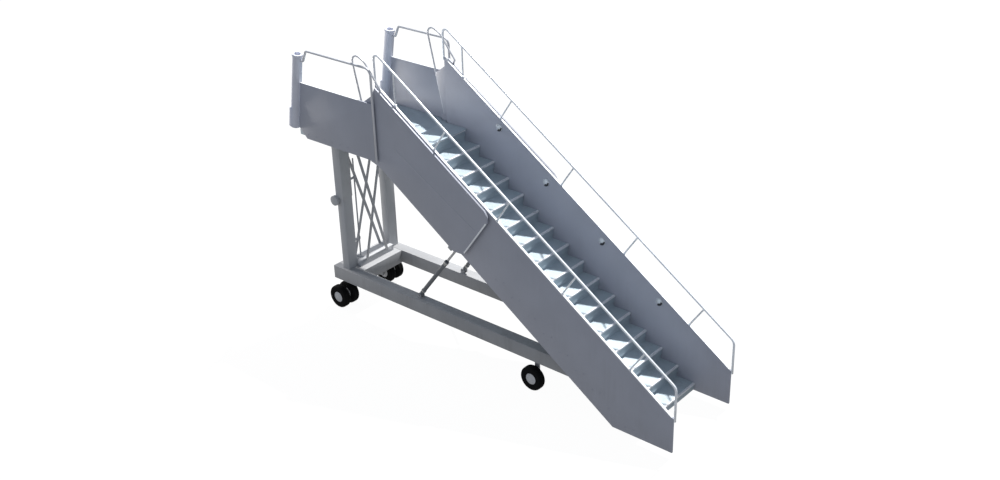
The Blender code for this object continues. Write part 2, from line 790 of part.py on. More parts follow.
def handrail(side, sign):
    """A bent tube over a lower panel, on posts, with a hoop at its top end."""
    y = sign * PANEL_MIDDLE
    rise = RAIL_HEIGHT / math.cos(SLOPE_ANGLE)
    foot_x = back(0) + RAIL_RADIUS + GAP
    top_back = FLIGHT_BACK + RAIL_RADIUS + GAP
    foot = Vector((foot_x, y, PANEL_FRONT_TOP - RAIL_FOOT_OVERLAP))
    front = Vector((foot_x, y, panel_top(FOOT_X - foot_x) + rise))
    crown = Vector((back(top_back), y, panel_top(top_back) + rise))
    end = Vector((back(top_back), y, panel_top(FLIGHT_BACK) - RAIL_FOOT_OVERLAP))
    path = bend([foot, front, crown, end], [RAIL_BEND, RAIL_TOP_BEND])
    rail = tube(f"handrail_{side}", path, RAIL_RADIUS, "rail_metal")
    posts = []
    for place in range(RAIL_POST_COUNT):
        distance = RAIL_POST_FIRST_BACK + place * RAIL_POST_SPACING
        seat = Vector((back(distance), y, panel_top(distance))) + SQUARE * GAP
        post = [seat, seat + SQUARE * RAIL_HEIGHT]
        posts.append(tube(f"rail_post_{side}_{place}", post, POST_RADIUS, "rail_metal"))
    distance = FLIGHT_BACK - TOP_POST_BACK_FROM_TOP
    seat = Vector((back(distance), y, panel_top(distance) + POST_RADIUS * SLOPE + GAP))
    post = [seat, Vector((seat.x, y, panel_top(distance) + rise))]
    posts.append(tube(f"rail_post_{side}_top", post, POST_RADIUS, "rail_metal"))
    return join(rail, *posts)


def lower_stair():
    pivot = new_pivot("lower_stair_pivot", (back(PIVOT_BACK), 0, PIVOT_HEIGHT))
    reach = PANEL_INSIDE - GAP
    shaft = cylinder(
        "stair_pivot_shaft",
        (back(PIVOT_BACK), -reach, PIVOT_HEIGHT),
        (back(PIVOT_BACK), reach, PIVOT_HEIGHT),
        PIVOT_SHAFT_RADIUS,
        "ram_rod",
    )
    carry(pivot, shaft, *treads())
    for side, sign in SIDES:
        carry(pivot, lower_panel(side, sign), handrail(side, sign))


# Upper stair section


def heel_back():
    """Where the upper panels' lower edge starts."""
    return UPPER_END_BACK + UPPER_HEEL_LENGTH


def hoop_leg_x(height):
    """The X of the rear leg's axis at this height."""
    foot = back(UPPER_TOP_BACK + HOOP_FOOT_BACK)
    return foot - HOOP_LEAN * (height - FLOOR - UPPER_TAIL_RISE)


def upper_panel(side, sign):
    """The outer panel, with a tail that hangs from the platform and a guard plate under the hoop."""
    nose_back = UPPER_END_BACK - UPPER_NOSE_LENGTH
    nose_top = panel_top(nose_back) - UPPER_NOSE_DROP
    nose_bottom = nose_top - UPPER_NOSE_FACE
    heel = heel_back()
    end_back = UPPER_END_BACK + UPPER_END_LENGTH
    tail_back = UPPER_TOP_BACK + UPPER_TAIL_LENGTH
    tail_top = FLOOR + UPPER_TAIL_RISE
    tail_bottom = panel_bottom(UPPER_TOP_BACK) + UPPER_SKIRT
    clear = (HOOP_RADIUS + GAP) * math.sqrt(1 + HOOP_LEAN**2)
    guard_top = FLOOR + GUARD_RISE
    outline = [
        (back(UPPER_TOP_BACK), panel_top(UPPER_TOP_BACK) - UPPER_TOP_DROP),
        (back(UPPER_END_BACK), panel_top(UPPER_END_BACK) - UPPER_TOP_DROP),
        (back(nose_back), nose_top),
        (back(nose_back), nose_bottom),
        (back(end_back), panel_bottom(end_back) + UPPER_END_HEIGHT),
        (back(heel), panel_bottom(heel) - UPPER_SKIRT),
        (back(UPPER_TOP_BACK), panel_bottom(UPPER_TOP_BACK) - UPPER_SKIRT),
        (back(tail_back), tail_bottom),
        (back(tail_back), tail_top),
        (hoop_leg_x(tail_top) + clear, tail_top),
        (hoop_leg_x(guard_top) + clear, guard_top),
        (back(UPPER_TOP_BACK + GUARD_FRONT_LENGTH), FLOOR + GUARD_FRONT_RISE),
    ]
    name = f"upper_side_panel_{side}"
    return side_plate(name, [outline], PANEL_THICKNESS, sign * UPPER_MIDDLE, "panel_paint")


def upper_hoop(side, sign):
    """The bent guard from an upper panel's tail, over, and down to its top edge."""
    y = sign * (UPPER_MIDDLE + HOOP_OUTSET)
    foot_z = FLOOR + UPPER_TAIL_RISE + HOOP_RADIUS * HOOP_LEAN + GAP
    crown_z = FLOOR + HOOP_CROWN_RISE
    crown_x = hoop_leg_x(crown_z)
    seat_back = UPPER_TOP_BACK - HOOP_SEAT_FORWARD
    seat = Vector((back(seat_back), y, panel_top(seat_back) - UPPER_TOP_DROP)) + SQUARE * GAP
    path = bend(
        [
            (hoop_leg_x(foot_z), y, foot_z),
            (crown_x, y, crown_z),
            (crown_x + HOOP_CROWN_LENGTH, y, crown_z - HOOP_CROWN_DROP),
            seat + SQUARE * HOOP_SEAT_RISE,
            seat,
        ],
        [HOOP_BEND, 2 * HOOP_BEND, HOOP_SEAT_RISE / 2],
    )
    return tube(f"upper_hoop_{side}", path, HOOP_RADIUS, "rail_metal")


def beam_frame():
    """The beam's seat: a point on the upper panels' lower edge."""
    distance = heel_back() + BEAM_BACK_FROM_END + BEAM_LENGTH / 2
    return Vector((back(distance), 0, panel_bottom(distance) - UPPER_SKIRT))


def sloped_rectangle(along0, along1, drop0, drop1):
    """A rectangle set square to the slope under the beam's seat, as X and Z."""
    seat = beam_frame()
    corners = ((along0, drop0), (along1, drop0), (along1, drop1), (along0, drop1))
    points = [seat + ALONG * along - SQUARE * drop for along, drop in corners]
    return [(point.x, point.z) for point in points]


def ram_head():
    """The centre of the rams' upper pivot at rest."""
    return beam_frame() - SQUARE * LUG_REACH


def carriage_beam():
    half = BEAM_LENGTH / 2
    outline = sloped_rectangle(-half, half, GAP, BEAM_DEPTH)
    width = 2 * (UPPER_INSIDE + PANEL_THICKNESS)
    beam = side_plate("carriage_beam", [outline], width, 0, "mast_paint")
    head = ram_head()
    lugs = []
    for side, sign in SIDES:
        body = sloped_rectangle(
            -LUG_EYE_RADIUS, LUG_EYE_RADIUS, BEAM_DEPTH - CHASSIS_WALL, LUG_REACH
        )
        start = math.pi - SLOPE_ANGLE
        round_end = arc(head.x, head.z, LUG_EYE_RADIUS, start, start + math.pi)
        outline = [body[0], body[1], *round_end]
        middle = sign * (RAM_SIDE + RAM_EYE_WIDTH / 2 + RUN_GAP + LUG_THICKNESS / 2)
        lugs.append(
            side_plate(f"ram_head_lug_{side}", [outline], LUG_THICKNESS, middle, "mast_paint")
        )
    return join(beam, *lugs)


def upper_stair():
    pivot = new_pivot("upper_stair_slide", (back(UPPER_TOP_BACK), 0, FLOOR))
    carry(pivot, carriage_beam())
    for side, sign in SIDES:
        carry(pivot, upper_panel(side, sign), upper_hoop(side, sign))


# Rams


def ram_frame(sign):
    """The ram's foot, and the turn that points its local Z at its upper pivot."""
    foot = Vector((back(RAM_FOOT_BACK), sign * RAM_SIDE, CHASSIS_TOP + RAM_EYE_RISE))
    head = ram_head()
    head.y = foot.y
    return foot, head, (head - foot).to_track_quat("Z", "Y")


def ram(side, sign):
    foot, head, turn = ram_frame(sign)
    place = Matrix.LocRotScale(foot, turn, None)
    bore = RAM_ROD_RADIUS + GAP
    profile = [
        (0, RAM_BASE),
        (bore, RAM_BASE),
        (bore, RAM_BARREL_LENGTH),
        (RAM_BARREL_RADIUS, RAM_BARREL_LENGTH),
        (RAM_BARREL_RADIUS, RAM_NECK_END),
        (RAM_NECK_RADIUS, RAM_NECK_END),
        (RAM_NECK_RADIUS, RAM_PIN_RADIUS),
        (0, RAM_PIN_RADIUS),
    ]
    barrel = turned(f"ram_barrel_{side}", profile, place, "ram_paint")
    half = RAM_EYE_WIDTH / 2
    pin = half + GAP + RAM_LUG_THICKNESS
    eye = cylinder(
        f"ram_eye_{side}",
        foot - Vector((0, half, 0)),
        foot + Vector((0, half, 0)),
        RAM_EYE_RADIUS,
        "ram_paint",
    )
    trunnion = cylinder(
        f"ram_trunnion_{side}",
        foot - Vector((0, pin, 0)),
        foot + Vector((0, pin, 0)),
        RAM_PIN_RADIUS,
        "ram_paint",
    )
    join(barrel, eye, trunnion)
    axis = (head - foot).normalized()
    rod = cylinder(
        f"ram_rod_{side}", head - axis * RAM_ROD_LENGTH, head, RAM_ROD_RADIUS, "ram_rod"
    )
    head_eye = cylinder(
        f"ram_head_eye_{side}",
        head - Vector((0, half, 0)),
        head + Vector((0, half, 0)),
        LUG_EYE_RADIUS,
        "ram_rod",
    )
    join(rod, head_eye)
    carry(new_pivot(f"ram_foot_{side}", foot), barrel)
    carry(new_pivot(f"ram_slide_{side}", foot), rod)


# Platform


def deck():
    """A sheet floor with folded edges, its front edge skewed to meet an aircraft."""
    half = WALL_OUTSIDE - WALL_THICKNESS - GAP
    inner = UPPER_INSIDE - UPPER_GAP / 3
    notch = back(UPPER_TOP_BACK + UPPER_TAIL_LENGTH + UPPER_GAP)
    edge = back(DECK_BACK)
    near_rear = back(DECK_BACK + DECK_LENGTH)
    far_rear = near_rear + DECK_SKEW
    outline = [
        (edge, -inner),
        (edge, inner),
        (notch, inner),
        (notch, half),
        (far_rear, half),
        (near_rear, -half),
        (notch, -half),
        (notch, -inner),
    ]
    shape = bmesh.new()
    top = [shape.verts.new((x, y, FLOOR)) for x, y in outline]
    bottom = [shape.verts.new((x, y, FLOOR - DECK_DEPTH)) for x, y in outline]
    shape.faces.new(top)
    for i in range(len(outline)):
        j = (i + 1) % len(outline)
        shape.faces.new((top[j], top[i], bottom[i], bottom[j]))
    mesh = bpy.data.meshes.new("deck")
    shape.to_mesh(mesh)
    shape.free()
    obj = new_object("deck", mesh, "tread_metal")
    fold = obj.modifiers.new("sheet", "SOLIDIFY")
    fold.thickness = DECK_SHEET
    fold.offset = -1
    fold.use_even_offset = True
    return obj


def landing_plate():
    reach = PANEL_INSIDE - 2 * RUN_GAP
    low = (back(DECK_BACK) + GAP, -reach, FLOOR - LANDING_THICKNESS)
    high = (back(LAST_TREAD_BACK - LANDING_NOSE), reach, FLOOR)
    return box("landing_plate", low, high, "tread_metal")


def bumper_foot(sign):
    """The centre of a bumper post's foot, just outside the deck's front edge."""
    rear = DECK_BACK + DECK_LENGTH + BUMPER_OUTSET
    x = back(rear) + (DECK_SKEW if sign > 0 else 0)
    return Vector((x, sign * WALL_MIDDLE, FLOOR + BUMPER_FOOT_RISE))


def bumper_front(sign, height):
    """The X of a bumper post's stair-side face at this height."""
    foot = bumper_foot(sign)
    middle = foot.x + (height - foot.z) * math.tan(BUMPER_LEAN)
    return middle + BUMPER_RADIUS / math.cos(BUMPER_LEAN)


def bumper_post(side, sign):
    """A leaning round post with a cup in its cap, and a rubber pad at its foot."""
    foot = bumper_foot(sign)
    lean = Matrix.Rotation(BUMPER_LEAN, 4, "Y")
    place = Matrix.Translation(foot) @ lean
    cap = BUMPER_LENGTH - BUMPER_CAP_LENGTH
    profile = [
        (0, BUMPER_LENGTH - BUMPER_CUP_DEPTH),
        (BUMPER_CUP_RADIUS, BUMPER_LENGTH - BUMPER_CUP_DEPTH),
        (BUMPER_CUP_RADIUS, BUMPER_LENGTH),
        (BUMPER_CAP_RADIUS, BUMPER_LENGTH),
        (BUMPER_CAP_RADIUS, cap),
        (BUMPER_RADIUS, cap),
        (BUMPER_RADIUS, 0),
        (0, 0),
    ]
    post = turned(f"bumper_post_{side}", profile, place, "bumper_rubber")
    start = place @ Vector((-BUMPER_PAD_OFFSET, 0, BUMPER_PAD_START))
    end = place @ Vector((-BUMPER_PAD_OFFSET, 0, BUMPER_PAD_LENGTH))
    pad = cylinder(f"bumper_pad_{side}", start, end, BUMPER_PAD_RADIUS, "bumper_rubber")
    return join(post, pad)


def platform_wall(side, sign):
    """A side wall that meets its bumper post, with a boss that hangs the upper panel."""
    bottom, top = FLOOR - WALL_DROP, FLOOR + WALL_HEIGHT
    clearance = WALL_THICKNESS / 2
    corner = FLOOR + WALL_CHAMFER - WALL_DROP
    rear_top = bumper_front(sign, top) + clearance
    rear_corner = bumper_front(sign, corner) + clearance
    edge = back(DECK_BACK - WALL_THICKNESS)
    outline = [
        (edge, bottom),
        (edge, top),
        (rear_top, top),
        (rear_corner, corner),
        (rear_corner + WALL_CHAMFER, bottom),
    ]
    middle = sign * WALL_MIDDLE
    wall = side_plate(
        f"platform_wall_{side}", [outline], WALL_THICKNESS, middle, "panel_paint"
    )
    x, z = back(hanger_back()), hanger_height()
    start = (x, middle, z)
    end = (x, sign * (UPPER_INSIDE + PANEL_THICKNESS + RUN_GAP), z)
    boss = cylinder(f"hanger_boss_{side}", start, end, HANGER_RADIUS, "panel_paint")
    return join(wall, boss)


def hanger_back():
    return DECK_BACK + HANGER_RADIUS


def hanger_height():
    return FLOOR - HANGER_DROP


def platform_rail(side, sign):
    """A tube from the bumper post, along over the wall, and down its end to the floor."""
    y = sign * WALL_MIDDLE
    top = FLOOR + PLATFORM_RAIL_HEIGHT
    start_z = top - PLATFORM_RAIL_DROP
    slack = PLATFORM_RAIL_RADIUS * math.tan(BUMPER_LEAN) + 4 * GAP
    start_x = bumper_front(sign, start_z) + slack
    post_x = back(DECK_BACK - WALL_THICKNESS) + PLATFORM_RAIL_RADIUS + GAP
    path = bend(
        [
            (start_x, y, start_z),
            (start_x + PLATFORM_RAIL_BEND / 2, y, start_z),
            (start_x + 1.3 * PLATFORM_RAIL_BEND, y, top),
            (post_x, y, top),
            (post_x, y, FLOOR - WALL_DROP),
        ],
        [PLATFORM_RAIL_BEND / 4, PLATFORM_RAIL_BEND / 2, PLATFORM_RAIL_BEND],
    )
    return tube(f"platform_rail_{side}", path, PLATFORM_RAIL_RADIUS, "rail_metal")


def platform():
    pivot = new_pivot("platform_lift", (back(MAST_BACK), 0, FLOOR))
    carry(pivot, deck(), landing_plate())
    for side, sign in SIDES:
        carry(
            pivot,
            mast_sleeve(side, sign),
            platform_wall(side, sign),
            bumper_post(side, sign),
            platform_rail(side, sign),
        )


def chassis():
    rear_cross_member()
    front_yoke()
    mast_bracing()
    tyre_inside = TYRE_WIDTH / 2 - WHEEL_DISC_INSET - AXLE_END
    axle(
        "front_axle",
        back(FRONT_AXLE_BACK),
        FRONT_WHEEL_SIDE + tyre_inside - GAP,
        FRONT_ARM_SIDE,
    )
    axle(
        "rear_axle",
        back(REAR_AXLE_BACK),
        REAR_WHEEL_SIDES[1] + tyre_inside - GAP,
        REAR_ARM_SIDE,
    )
    for side, sign in SIDES:
        chassis_rail(side, sign)
        mast_column(side, sign)
        front_wheel(side, sign)
        rear_wheels(side, sign)


def main():
    chassis()
    lower_stair()
    upper_stair()
    platform()
    for side, sign in SIDES:
        ram(side, sign)


main()
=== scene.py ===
"""Towable boarding stairs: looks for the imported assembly, on a pale studio floor."""

import logging
import math
from collections.abc import Iterable, Sequence
from dataclasses import dataclass, field
from enum import Enum

import bmesh
import bpy
from mathutils import Matrix, Vector


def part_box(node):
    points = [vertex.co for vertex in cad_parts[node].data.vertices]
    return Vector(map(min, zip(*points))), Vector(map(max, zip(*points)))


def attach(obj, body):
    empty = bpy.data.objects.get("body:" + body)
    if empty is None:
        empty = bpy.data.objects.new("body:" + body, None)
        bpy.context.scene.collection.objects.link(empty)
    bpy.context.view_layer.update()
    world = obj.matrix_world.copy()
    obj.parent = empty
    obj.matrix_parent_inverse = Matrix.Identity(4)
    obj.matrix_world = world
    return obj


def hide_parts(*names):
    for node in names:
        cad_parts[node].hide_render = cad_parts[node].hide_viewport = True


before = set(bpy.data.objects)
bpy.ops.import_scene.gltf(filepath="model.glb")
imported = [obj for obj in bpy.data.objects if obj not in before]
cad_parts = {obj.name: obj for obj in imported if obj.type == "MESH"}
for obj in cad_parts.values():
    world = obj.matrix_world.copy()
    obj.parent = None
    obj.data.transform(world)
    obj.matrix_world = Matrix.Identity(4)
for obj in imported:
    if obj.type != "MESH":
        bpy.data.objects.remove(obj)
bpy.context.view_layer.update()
LOG = logging.getLogger("boarding_stairs")
Colour = tuple[float, float, float]
Point = Sequence[float]
TURN = 2 * math.pi
SMOOTH_ANGLE = math.radians(32)
BEVEL_ANGLE = math.radians(38)
MERGE = 0.00005
SIDES = (("near", -1), ("far", 1))


class Slot(Enum):
    """The material slots of the record."""

    PANEL = "panel_paint"
    TREAD = "tread_metal"
    RAIL = "rail_metal"
    CHASSIS = "chassis_paint"
    MAST = "mast_paint"
    RAM = "ram_paint"
    ROD = "ram_rod"
    BUMPER = "bumper_rubber"
    TYRE = "tyre_rubber"
    WHEEL = "wheel_paint"


class Body(Enum):
    """The bodies that a piece can ride on, apart from the wheels and rams."""

    CHASSIS = "chassis"
    PLATFORM = "platform"
    LOWER = "lower_stair"
    UPPER = "upper_stair"


# Effects shared by the finishes


class Tree:
    """A node tree with short calls for adding and linking nodes."""

    def __init__(self, tree: bpy.types.NodeTree) -> None:
        """Keeps the tree that the nodes go into."""
        self.tree = tree

    def add(self, kind: str, inputs: dict | None = None, **settings: object) -> bpy.types.Node:
        """Adds a node.

        Args:
            kind: the node's type name, without the ShaderNode prefix.
            inputs: socket name or number to a value, or to the socket that feeds it.
            settings: attributes of the node.

        Returns:
            The new node.
        """
        prefix = "" if kind.startswith("NodeGroup") else "ShaderNode"
        node = self.tree.nodes.new(prefix + kind)
        for name, value in settings.items():
            setattr(node, name, value)
        for name, value in (inputs or {}).items():
            if isinstance(value, bpy.types.NodeSocket):
                self.tree.links.new(value, node.inputs[name])
            else:
                node.inputs[name].default_value = value
        return node

    def maths(self, operation: str, first: object, second: object = 0.0) -> bpy.types.NodeSocket:
        """Combines two values by a Math node and returns its result."""
        return self.add("Math", {0: first, 1: second}, operation=operation).outputs[0]

    def mix(self, share: object, first: object, second: object) -> bpy.types.NodeSocket:
        """Mixes two colours by a share and returns the result."""
        return self.add("Mix", {0: share, 6: first, 7: second}, data_type="RGBA").outputs[2]

    def spread(
        self, value: object, low: float, high: float, to: Point = (0, 1)
    ) -> bpy.types.NodeSocket:
        """Maps a value from low..high to the given range, held at its ends."""
        inputs = {0: value, 1: low, 2: high, 3: to[0], 4: to[1]}
        return self.add("MapRange", inputs).outputs[0]


def new_group(name: str, inputs: dict[str, float], outputs: Iterable[str]) -> bpy.types.NodeTree:
    """Starts a shader node group.

    Args:
        name: the group's name.
        inputs: the name and default of each value that it takes.
        outputs: the names of the values that it gives.

    Returns:
        The group, with its input node as "in" and its output node as "out".
    """
    group = bpy.data.node_groups.new(name, "ShaderNodeTree")
    for label, value in inputs.items():
        socket = group.interface.new_socket(label, in_out="INPUT", socket_type="NodeSocketFloat")
        socket.default_value = value
    for label in outputs:
        group.interface.new_socket(label, in_out="OUTPUT", socket_type="NodeSocketFloat")
    group.nodes.new("NodeGroupInput").name = "in"
    group.nodes.new("NodeGroupOutput").name = "out"
    return group


def edge_wear_group() -> bpy.types.NodeTree:
    """A mask that is strong on outer edges, broken up by noise.

    Returns:
        The group, with one Mask output.
    """
    group = new_group("edge wear", {"Reach": 0.006, "Breakup": 14.0, "Amount": 0.5}, ["Mask"])
    tree = Tree(group)
    taken = group.nodes["in"].outputs
    rounded = tree.add("Bevel", {"Radius": taken["Reach"]}, samples=4).outputs[0]
    plain = tree.add("NewGeometry").outputs["Normal"]
    both = {0: rounded, 1: plain}
    agree = tree.add("VectorMath", both, operation="DOT_PRODUCT").outputs["Value"]
    edge = tree.spread(agree, 0.999, 0.90)
    place = tree.add("TexCoord").outputs["Object"]
    noise = tree.add("TexNoise", {"Vector": place, "Scale": taken["Breakup"], "Detail": 6.0})
    broken = tree.spread(noise.outputs[0], 0.42, 0.66)
    mask = tree.maths("MULTIPLY", tree.maths("MULTIPLY", edge, broken), taken["Amount"])
    group.links.new(mask, group.nodes["out"].inputs["Mask"])
    return group


def dirt_group() -> bpy.types.NodeTree:
    """A mask of dust and rain streaks, heavier near the ground.

    Returns:
        The group, with one Mask output.
    """
    group = new_group("settled dirt", {"Amount": 0.3, "Scale": 3.0}, ["Mask"])
    tree = Tree(group)
    taken = group.nodes["in"].outputs
    place = tree.add("TexCoord").outputs["Object"]
    height = tree.add("SeparateXYZ", {0: place}).outputs["Z"]
    low = tree.spread(height, 1.6, 0.0, (0.35, 1.0))
    broad = {"Vector": place, "Scale": taken["Scale"], "Detail": 8.0}
    blotch = tree.add("TexNoise", broad).outputs[0]
    drawn = tree.add("Mapping", {"Vector": place, "Scale": (22.0, 22.0, 1.1)}).outputs[0]
    streak = tree.add("TexNoise", {"Vector": drawn, "Scale": 1.0, "Detail": 3.0}).outputs[0]
    both = tree.maths("MULTIPLY", tree.spread(blotch, 0.42, 0.72), tree.spread(streak, 0.35, 0.7))
    mask = tree.maths("MULTIPLY", tree.maths("MULTIPLY", both, low), taken["Amount"])
    group.links.new(mask, group.nodes["out"].inputs["Mask"])
    return group


def grain_group() -> bpy.types.NodeTree:
    """Fine grain and broad clouding, both centred on a half.

    Returns:
        The group, with the outputs Fine and Cloud.
    """
    names = {"Scale": 160.0, "Stretch X": 1.0, "Stretch Y": 1.0, "Stretch Z": 1.0}
    group = new_group("surface grain", names, ["Fine", "Cloud"])
    tree = Tree(group)
    taken = group.nodes["in"].outputs
    place = tree.add("TexCoord").outputs["Object"]
    stretch = {"X": taken["Stretch X"], "Y": taken["Stretch Y"], "Z": taken["Stretch Z"]}
    scale = tree.add("CombineXYZ", stretch).outputs[0]
    drawn = tree.add("VectorMath", {0: place, 1: scale}, operation="MULTIPLY").outputs[0]
    fine = tree.add("TexNoise", {"Vector": drawn, "Scale": taken["Scale"], "Detail": 4.0})
    cloud = tree.add("TexNoise", {"Vector": place, "Scale": 1.7, "Detail": 5.0})
    group.links.new(fine.outputs[0], group.nodes["out"].inputs["Fine"])
    group.links.new(cloud.outputs[0], group.nodes["out"].inputs["Cloud"])
    return group


@dataclass(frozen=True)
class Effects:
    """The node groups that every finish places."""

    wear: bpy.types.NodeTree = field(default_factory=edge_wear_group)
    dirt: bpy.types.NodeTree = field(default_factory=dirt_group)
    grain: bpy.types.NodeTree = field(default_factory=grain_group)


EFFECTS = Effects()


# Finishes


@dataclass(frozen=True)
class Finish:
    """A surface with clouding, grain, worn edges and settled dirt."""

    name: str
    colour: Colour
    roughness: float
    metallic: float = 0.0
    clouding: float = 0.10
    spread: float = 0.12
    grain: float = 160.0
    stretch: Colour = (1.0, 1.0, 1.0)
    bump: float = 0.12
    wear: float = 0.5
    worn: Colour = (0.50, 0.51, 0.53)
    dirt: float = 0.35
    dust: Colour = (0.19, 0.18, 0.165)
    coat: float = 0.0
    gloss: float = 0.5

    def base(self, tree: Tree, cloud: bpy.types.NodeSocket) -> bpy.types.NodeSocket:
        """The unworn colour, a little darker and lighter from place to place.

        Args:
            tree: the material's tree.
            cloud: the broad clouding.

        Returns:
            The colour.
        """
        dark = tuple(part * (1 - self.clouding) for part in self.colour)
        light = tuple(min(1.0, part * (1 + self.clouding)) for part in self.colour)
        share = tree.spread(cloud, 0.3, 0.7)
        return tree.mix(share, (*dark, 1.0), (*light, 1.0))

    def relief(self, tree: Tree, fine: bpy.types.NodeSocket) -> bpy.types.NodeSocket:
        """The height of the bump."""
        return fine

    def build(self) -> bpy.types.Material:
        """Makes the material once.

        Returns:
            The material, the same one on every call.
        """
        known = bpy.data.materials.get(self.name)
        if known:
            return known
        material = bpy.data.materials.new(self.name)
        material.use_nodes = True
        material.node_tree.nodes.clear()
        tree = Tree(material.node_tree)
        sizes = dict(zip(("Stretch X", "Stretch Y", "Stretch Z"), self.stretch))
        grain = tree.add("Group", None, node_tree=EFFECTS.grain)
        for label, value in {"Scale": self.grain, **sizes}.items():
            grain.inputs[label].default_value = value
        wear = tree.add("Group", None, node_tree=EFFECTS.wear)
        wear.inputs["Amount"].default_value = self.wear
        dirt = tree.add("Group", None, node_tree=EFFECTS.dirt)
        dirt.inputs["Amount"].default_value = self.dirt
        fine, cloud = grain.outputs["Fine"], grain.outputs["Cloud"]
        clean = self.base(tree, cloud)
        dusty = tree.mix(dirt.outputs[0], clean, (*self.dust, 1.0))
        colour = tree.mix(wear.outputs[0], dusty, (*self.worn, 1.0))
        low, high = self.roughness - self.spread, self.roughness + self.spread
        rough = tree.spread(fine, 0.3, 0.7, (max(0.05, low), min(1.0, high)))
        rough = tree.maths("ADD", rough, tree.maths("MULTIPLY", dirt.outputs[0], 0.3))
        bump = tree.add(
            "Bump", {"Strength": self.bump, "Distance": 0.002, "Height": self.relief(tree, fine)}
        )
        shader = tree.add(
            "BsdfPrincipled",
            {"Base Color": colour, "Roughness": rough, "Normal": bump.outputs[0]},
        )
        shader.inputs["Metallic"].default_value = self.metallic
        shader.inputs["Coat Weight"].default_value = self.coat
        shader.inputs["Specular IOR Level"].default_value = self.gloss
        tree.add("OutputMaterial", {"Surface": shader.outputs[0]})
        return material


@dataclass(frozen=True)
class OrangePeel(Finish):
    """Sprayed paint, whose relief is a soft orange peel."""

    peel: float = 260.0

    def relief(self, tree: Tree, fine: bpy.types.NodeSocket) -> bpy.types.NodeSocket:
        """Small smooth cells with the grain on top of them.

        Args:
            tree: the material's tree.
            fine: the fine grain.

        Returns:
            The height.
        """
        place = tree.add("TexCoord").outputs["Object"]
        cells = tree.add("TexVoronoi", {"Vector": place, "Scale": self.peel}, feature="SMOOTH_F1")
        return tree.maths("ADD", tree.maths("MULTIPLY", fine, 0.4), cells.outputs["Distance"])


@dataclass(frozen=True)
class Speckled(Finish):
    """Cast or grip-coated metal with fine light specks."""

    speck: Colour = (0.6, 0.6, 0.6)

    def base(self, tree: Tree, cloud: bpy.types.NodeSocket) -> bpy.types.NodeSocket:
        """The clouded colour with specks in it.

        Args:
            tree: the material's tree.
            cloud: the broad clouding.

        Returns:
            The colour.
        """
        plain = Finish.base(self, tree, cloud)
        place = tree.add("TexCoord").outputs["Object"]
        cells = tree.add("TexVoronoi", {"Vector": place, "Scale": 210.0})
        mask = tree.spread(cells.outputs["Distance"], 0.22, 0.12, (0.0, 0.35))
        return tree.mix(mask, plain, (*self.speck, 1.0))


class Finishes:
    """Every finish of the machine."""

    PANEL = OrangePeel(
        "Panel paint", (0.37, 0.385, 0.44), 0.46, wear=0.6, dirt=0.22, coat=0.08, clouding=0.05
    )
    # Near-white trim: a painted highlight standing in for the sunlit top and end edges of the
    # panels and walls.
    HIGHLIGHT_TRIM = Finish(
        "Painted highlight trim", (0.88, 0.90, 0.92), 0.34, 0.15, stretch=(0.1, 1, 0.1), wear=0.2,
        dirt=0.2,
    )
    TREAD = Speckled("Grip-coated tread", (0.42, 0.50, 0.55), 0.55, 0.1, wear=0.7, dirt=0.4)
    # Near-white nosing: a painted highlight for the lit front edge of each tread.
    HIGHLIGHT_NOSING = Finish("Painted highlight nosing", (0.86, 0.88, 0.90), 0.32, 0.4, stretch=(1, 0.06, 1), wear=0.3)
    RAIL = Finish(
        "Brushed tube", (0.85, 0.88, 0.92), 0.30, 0.15, stretch=(0.2, 1, 0.2), wear=0.2, dirt=0.15
    )
    # A darker copy of the brushed tube for the hoops and platform rails: the darkening is painted
    # shade.
    SHADE_DARKENED_TUBE = Finish(
        "Shade-darkened tube", (0.62, 0.63, 0.66), 0.40, 0.3, stretch=(0.2, 1, 0.2), wear=0.2, dirt=0.15
    )
    CHASSIS = OrangePeel(
        "Chassis paint", (0.34, 0.345, 0.355), 0.5, wear=0.7, dirt=0.5, clouding=0.07
    )
    MAST = OrangePeel("Mast paint", (0.44, 0.45, 0.465), 0.48, wear=0.6, dirt=0.3, clouding=0.06)
    RAM = OrangePeel("Ram paint", (0.16, 0.17, 0.18), 0.42, wear=0.5, dirt=0.4)
    ROD = Finish(
        "Chromed rod", (0.62, 0.63, 0.65), 0.12, 1.0, spread=0.05, stretch=(1, 1, 0.1), wear=0.1
    )
    STEEL = Finish("Zinc-plated bolt", (0.55, 0.55, 0.53), 0.38, 0.8, wear=0.4, dirt=0.4)
    BUMPER = Finish(
        "Grey rubber sleeve", (0.60, 0.62, 0.70), 0.72, grain=90.0, bump=0.3, wear=0.35, dirt=0.3
    )
    # Near black: painted shade for the dark crescent in each step lamp, carried by the hood.
    PAINTED_SHADE_BLACK = Finish("Painted shade black", (0.035, 0.036, 0.04), 0.8, grain=90.0, wear=0.2)
    TYRE = Finish(
        "Solid tyre", (0.003, 0.003, 0.003), 0.85, grain=70.0, bump=0.3, wear=0.05,
        worn=(0.03, 0.03, 0.03), dirt=0.03, gloss=0.15,
    )
    WHEEL = OrangePeel("Wheel disc paint", (0.60, 0.60, 0.60), 0.45, wear=0.6, dirt=0.25)
    LENS = Finish("Frosted lens", (0.74, 0.78, 0.80), 0.22, grain=40.0, coat=0.4, wear=0.0)
    LAMP_RING = Finish("Lamp ring", (0.62, 0.65, 0.68), 0.3, 0.5, wear=0.2)
    WELD = Finish("Weld bead", (0.34, 0.345, 0.35), 0.5, 0.2, grain=60.0, bump=0.6, wear=0.6)


# Making meshes


def add_box(shape: bmesh.types.BMesh, low: Point, high: Point, turn: Matrix | None = None) -> None:
    """Adds a box between two corners.

    Args:
        shape: the bmesh that takes it.
        low: its lowest corner.
        high: its highest corner.
        turn: where the box goes, if not straight into the machine's frame.
    """
    low_corner, high_corner = Vector(low), Vector(high)
    middle = (low_corner + high_corner) / 2
    size = high_corner - low_corner
    place = Matrix.Translation(middle) @ Matrix.Diagonal((*size, 1))
    bmesh.ops.create_cube(shape, size=1, matrix=(turn or Matrix()) @ place)


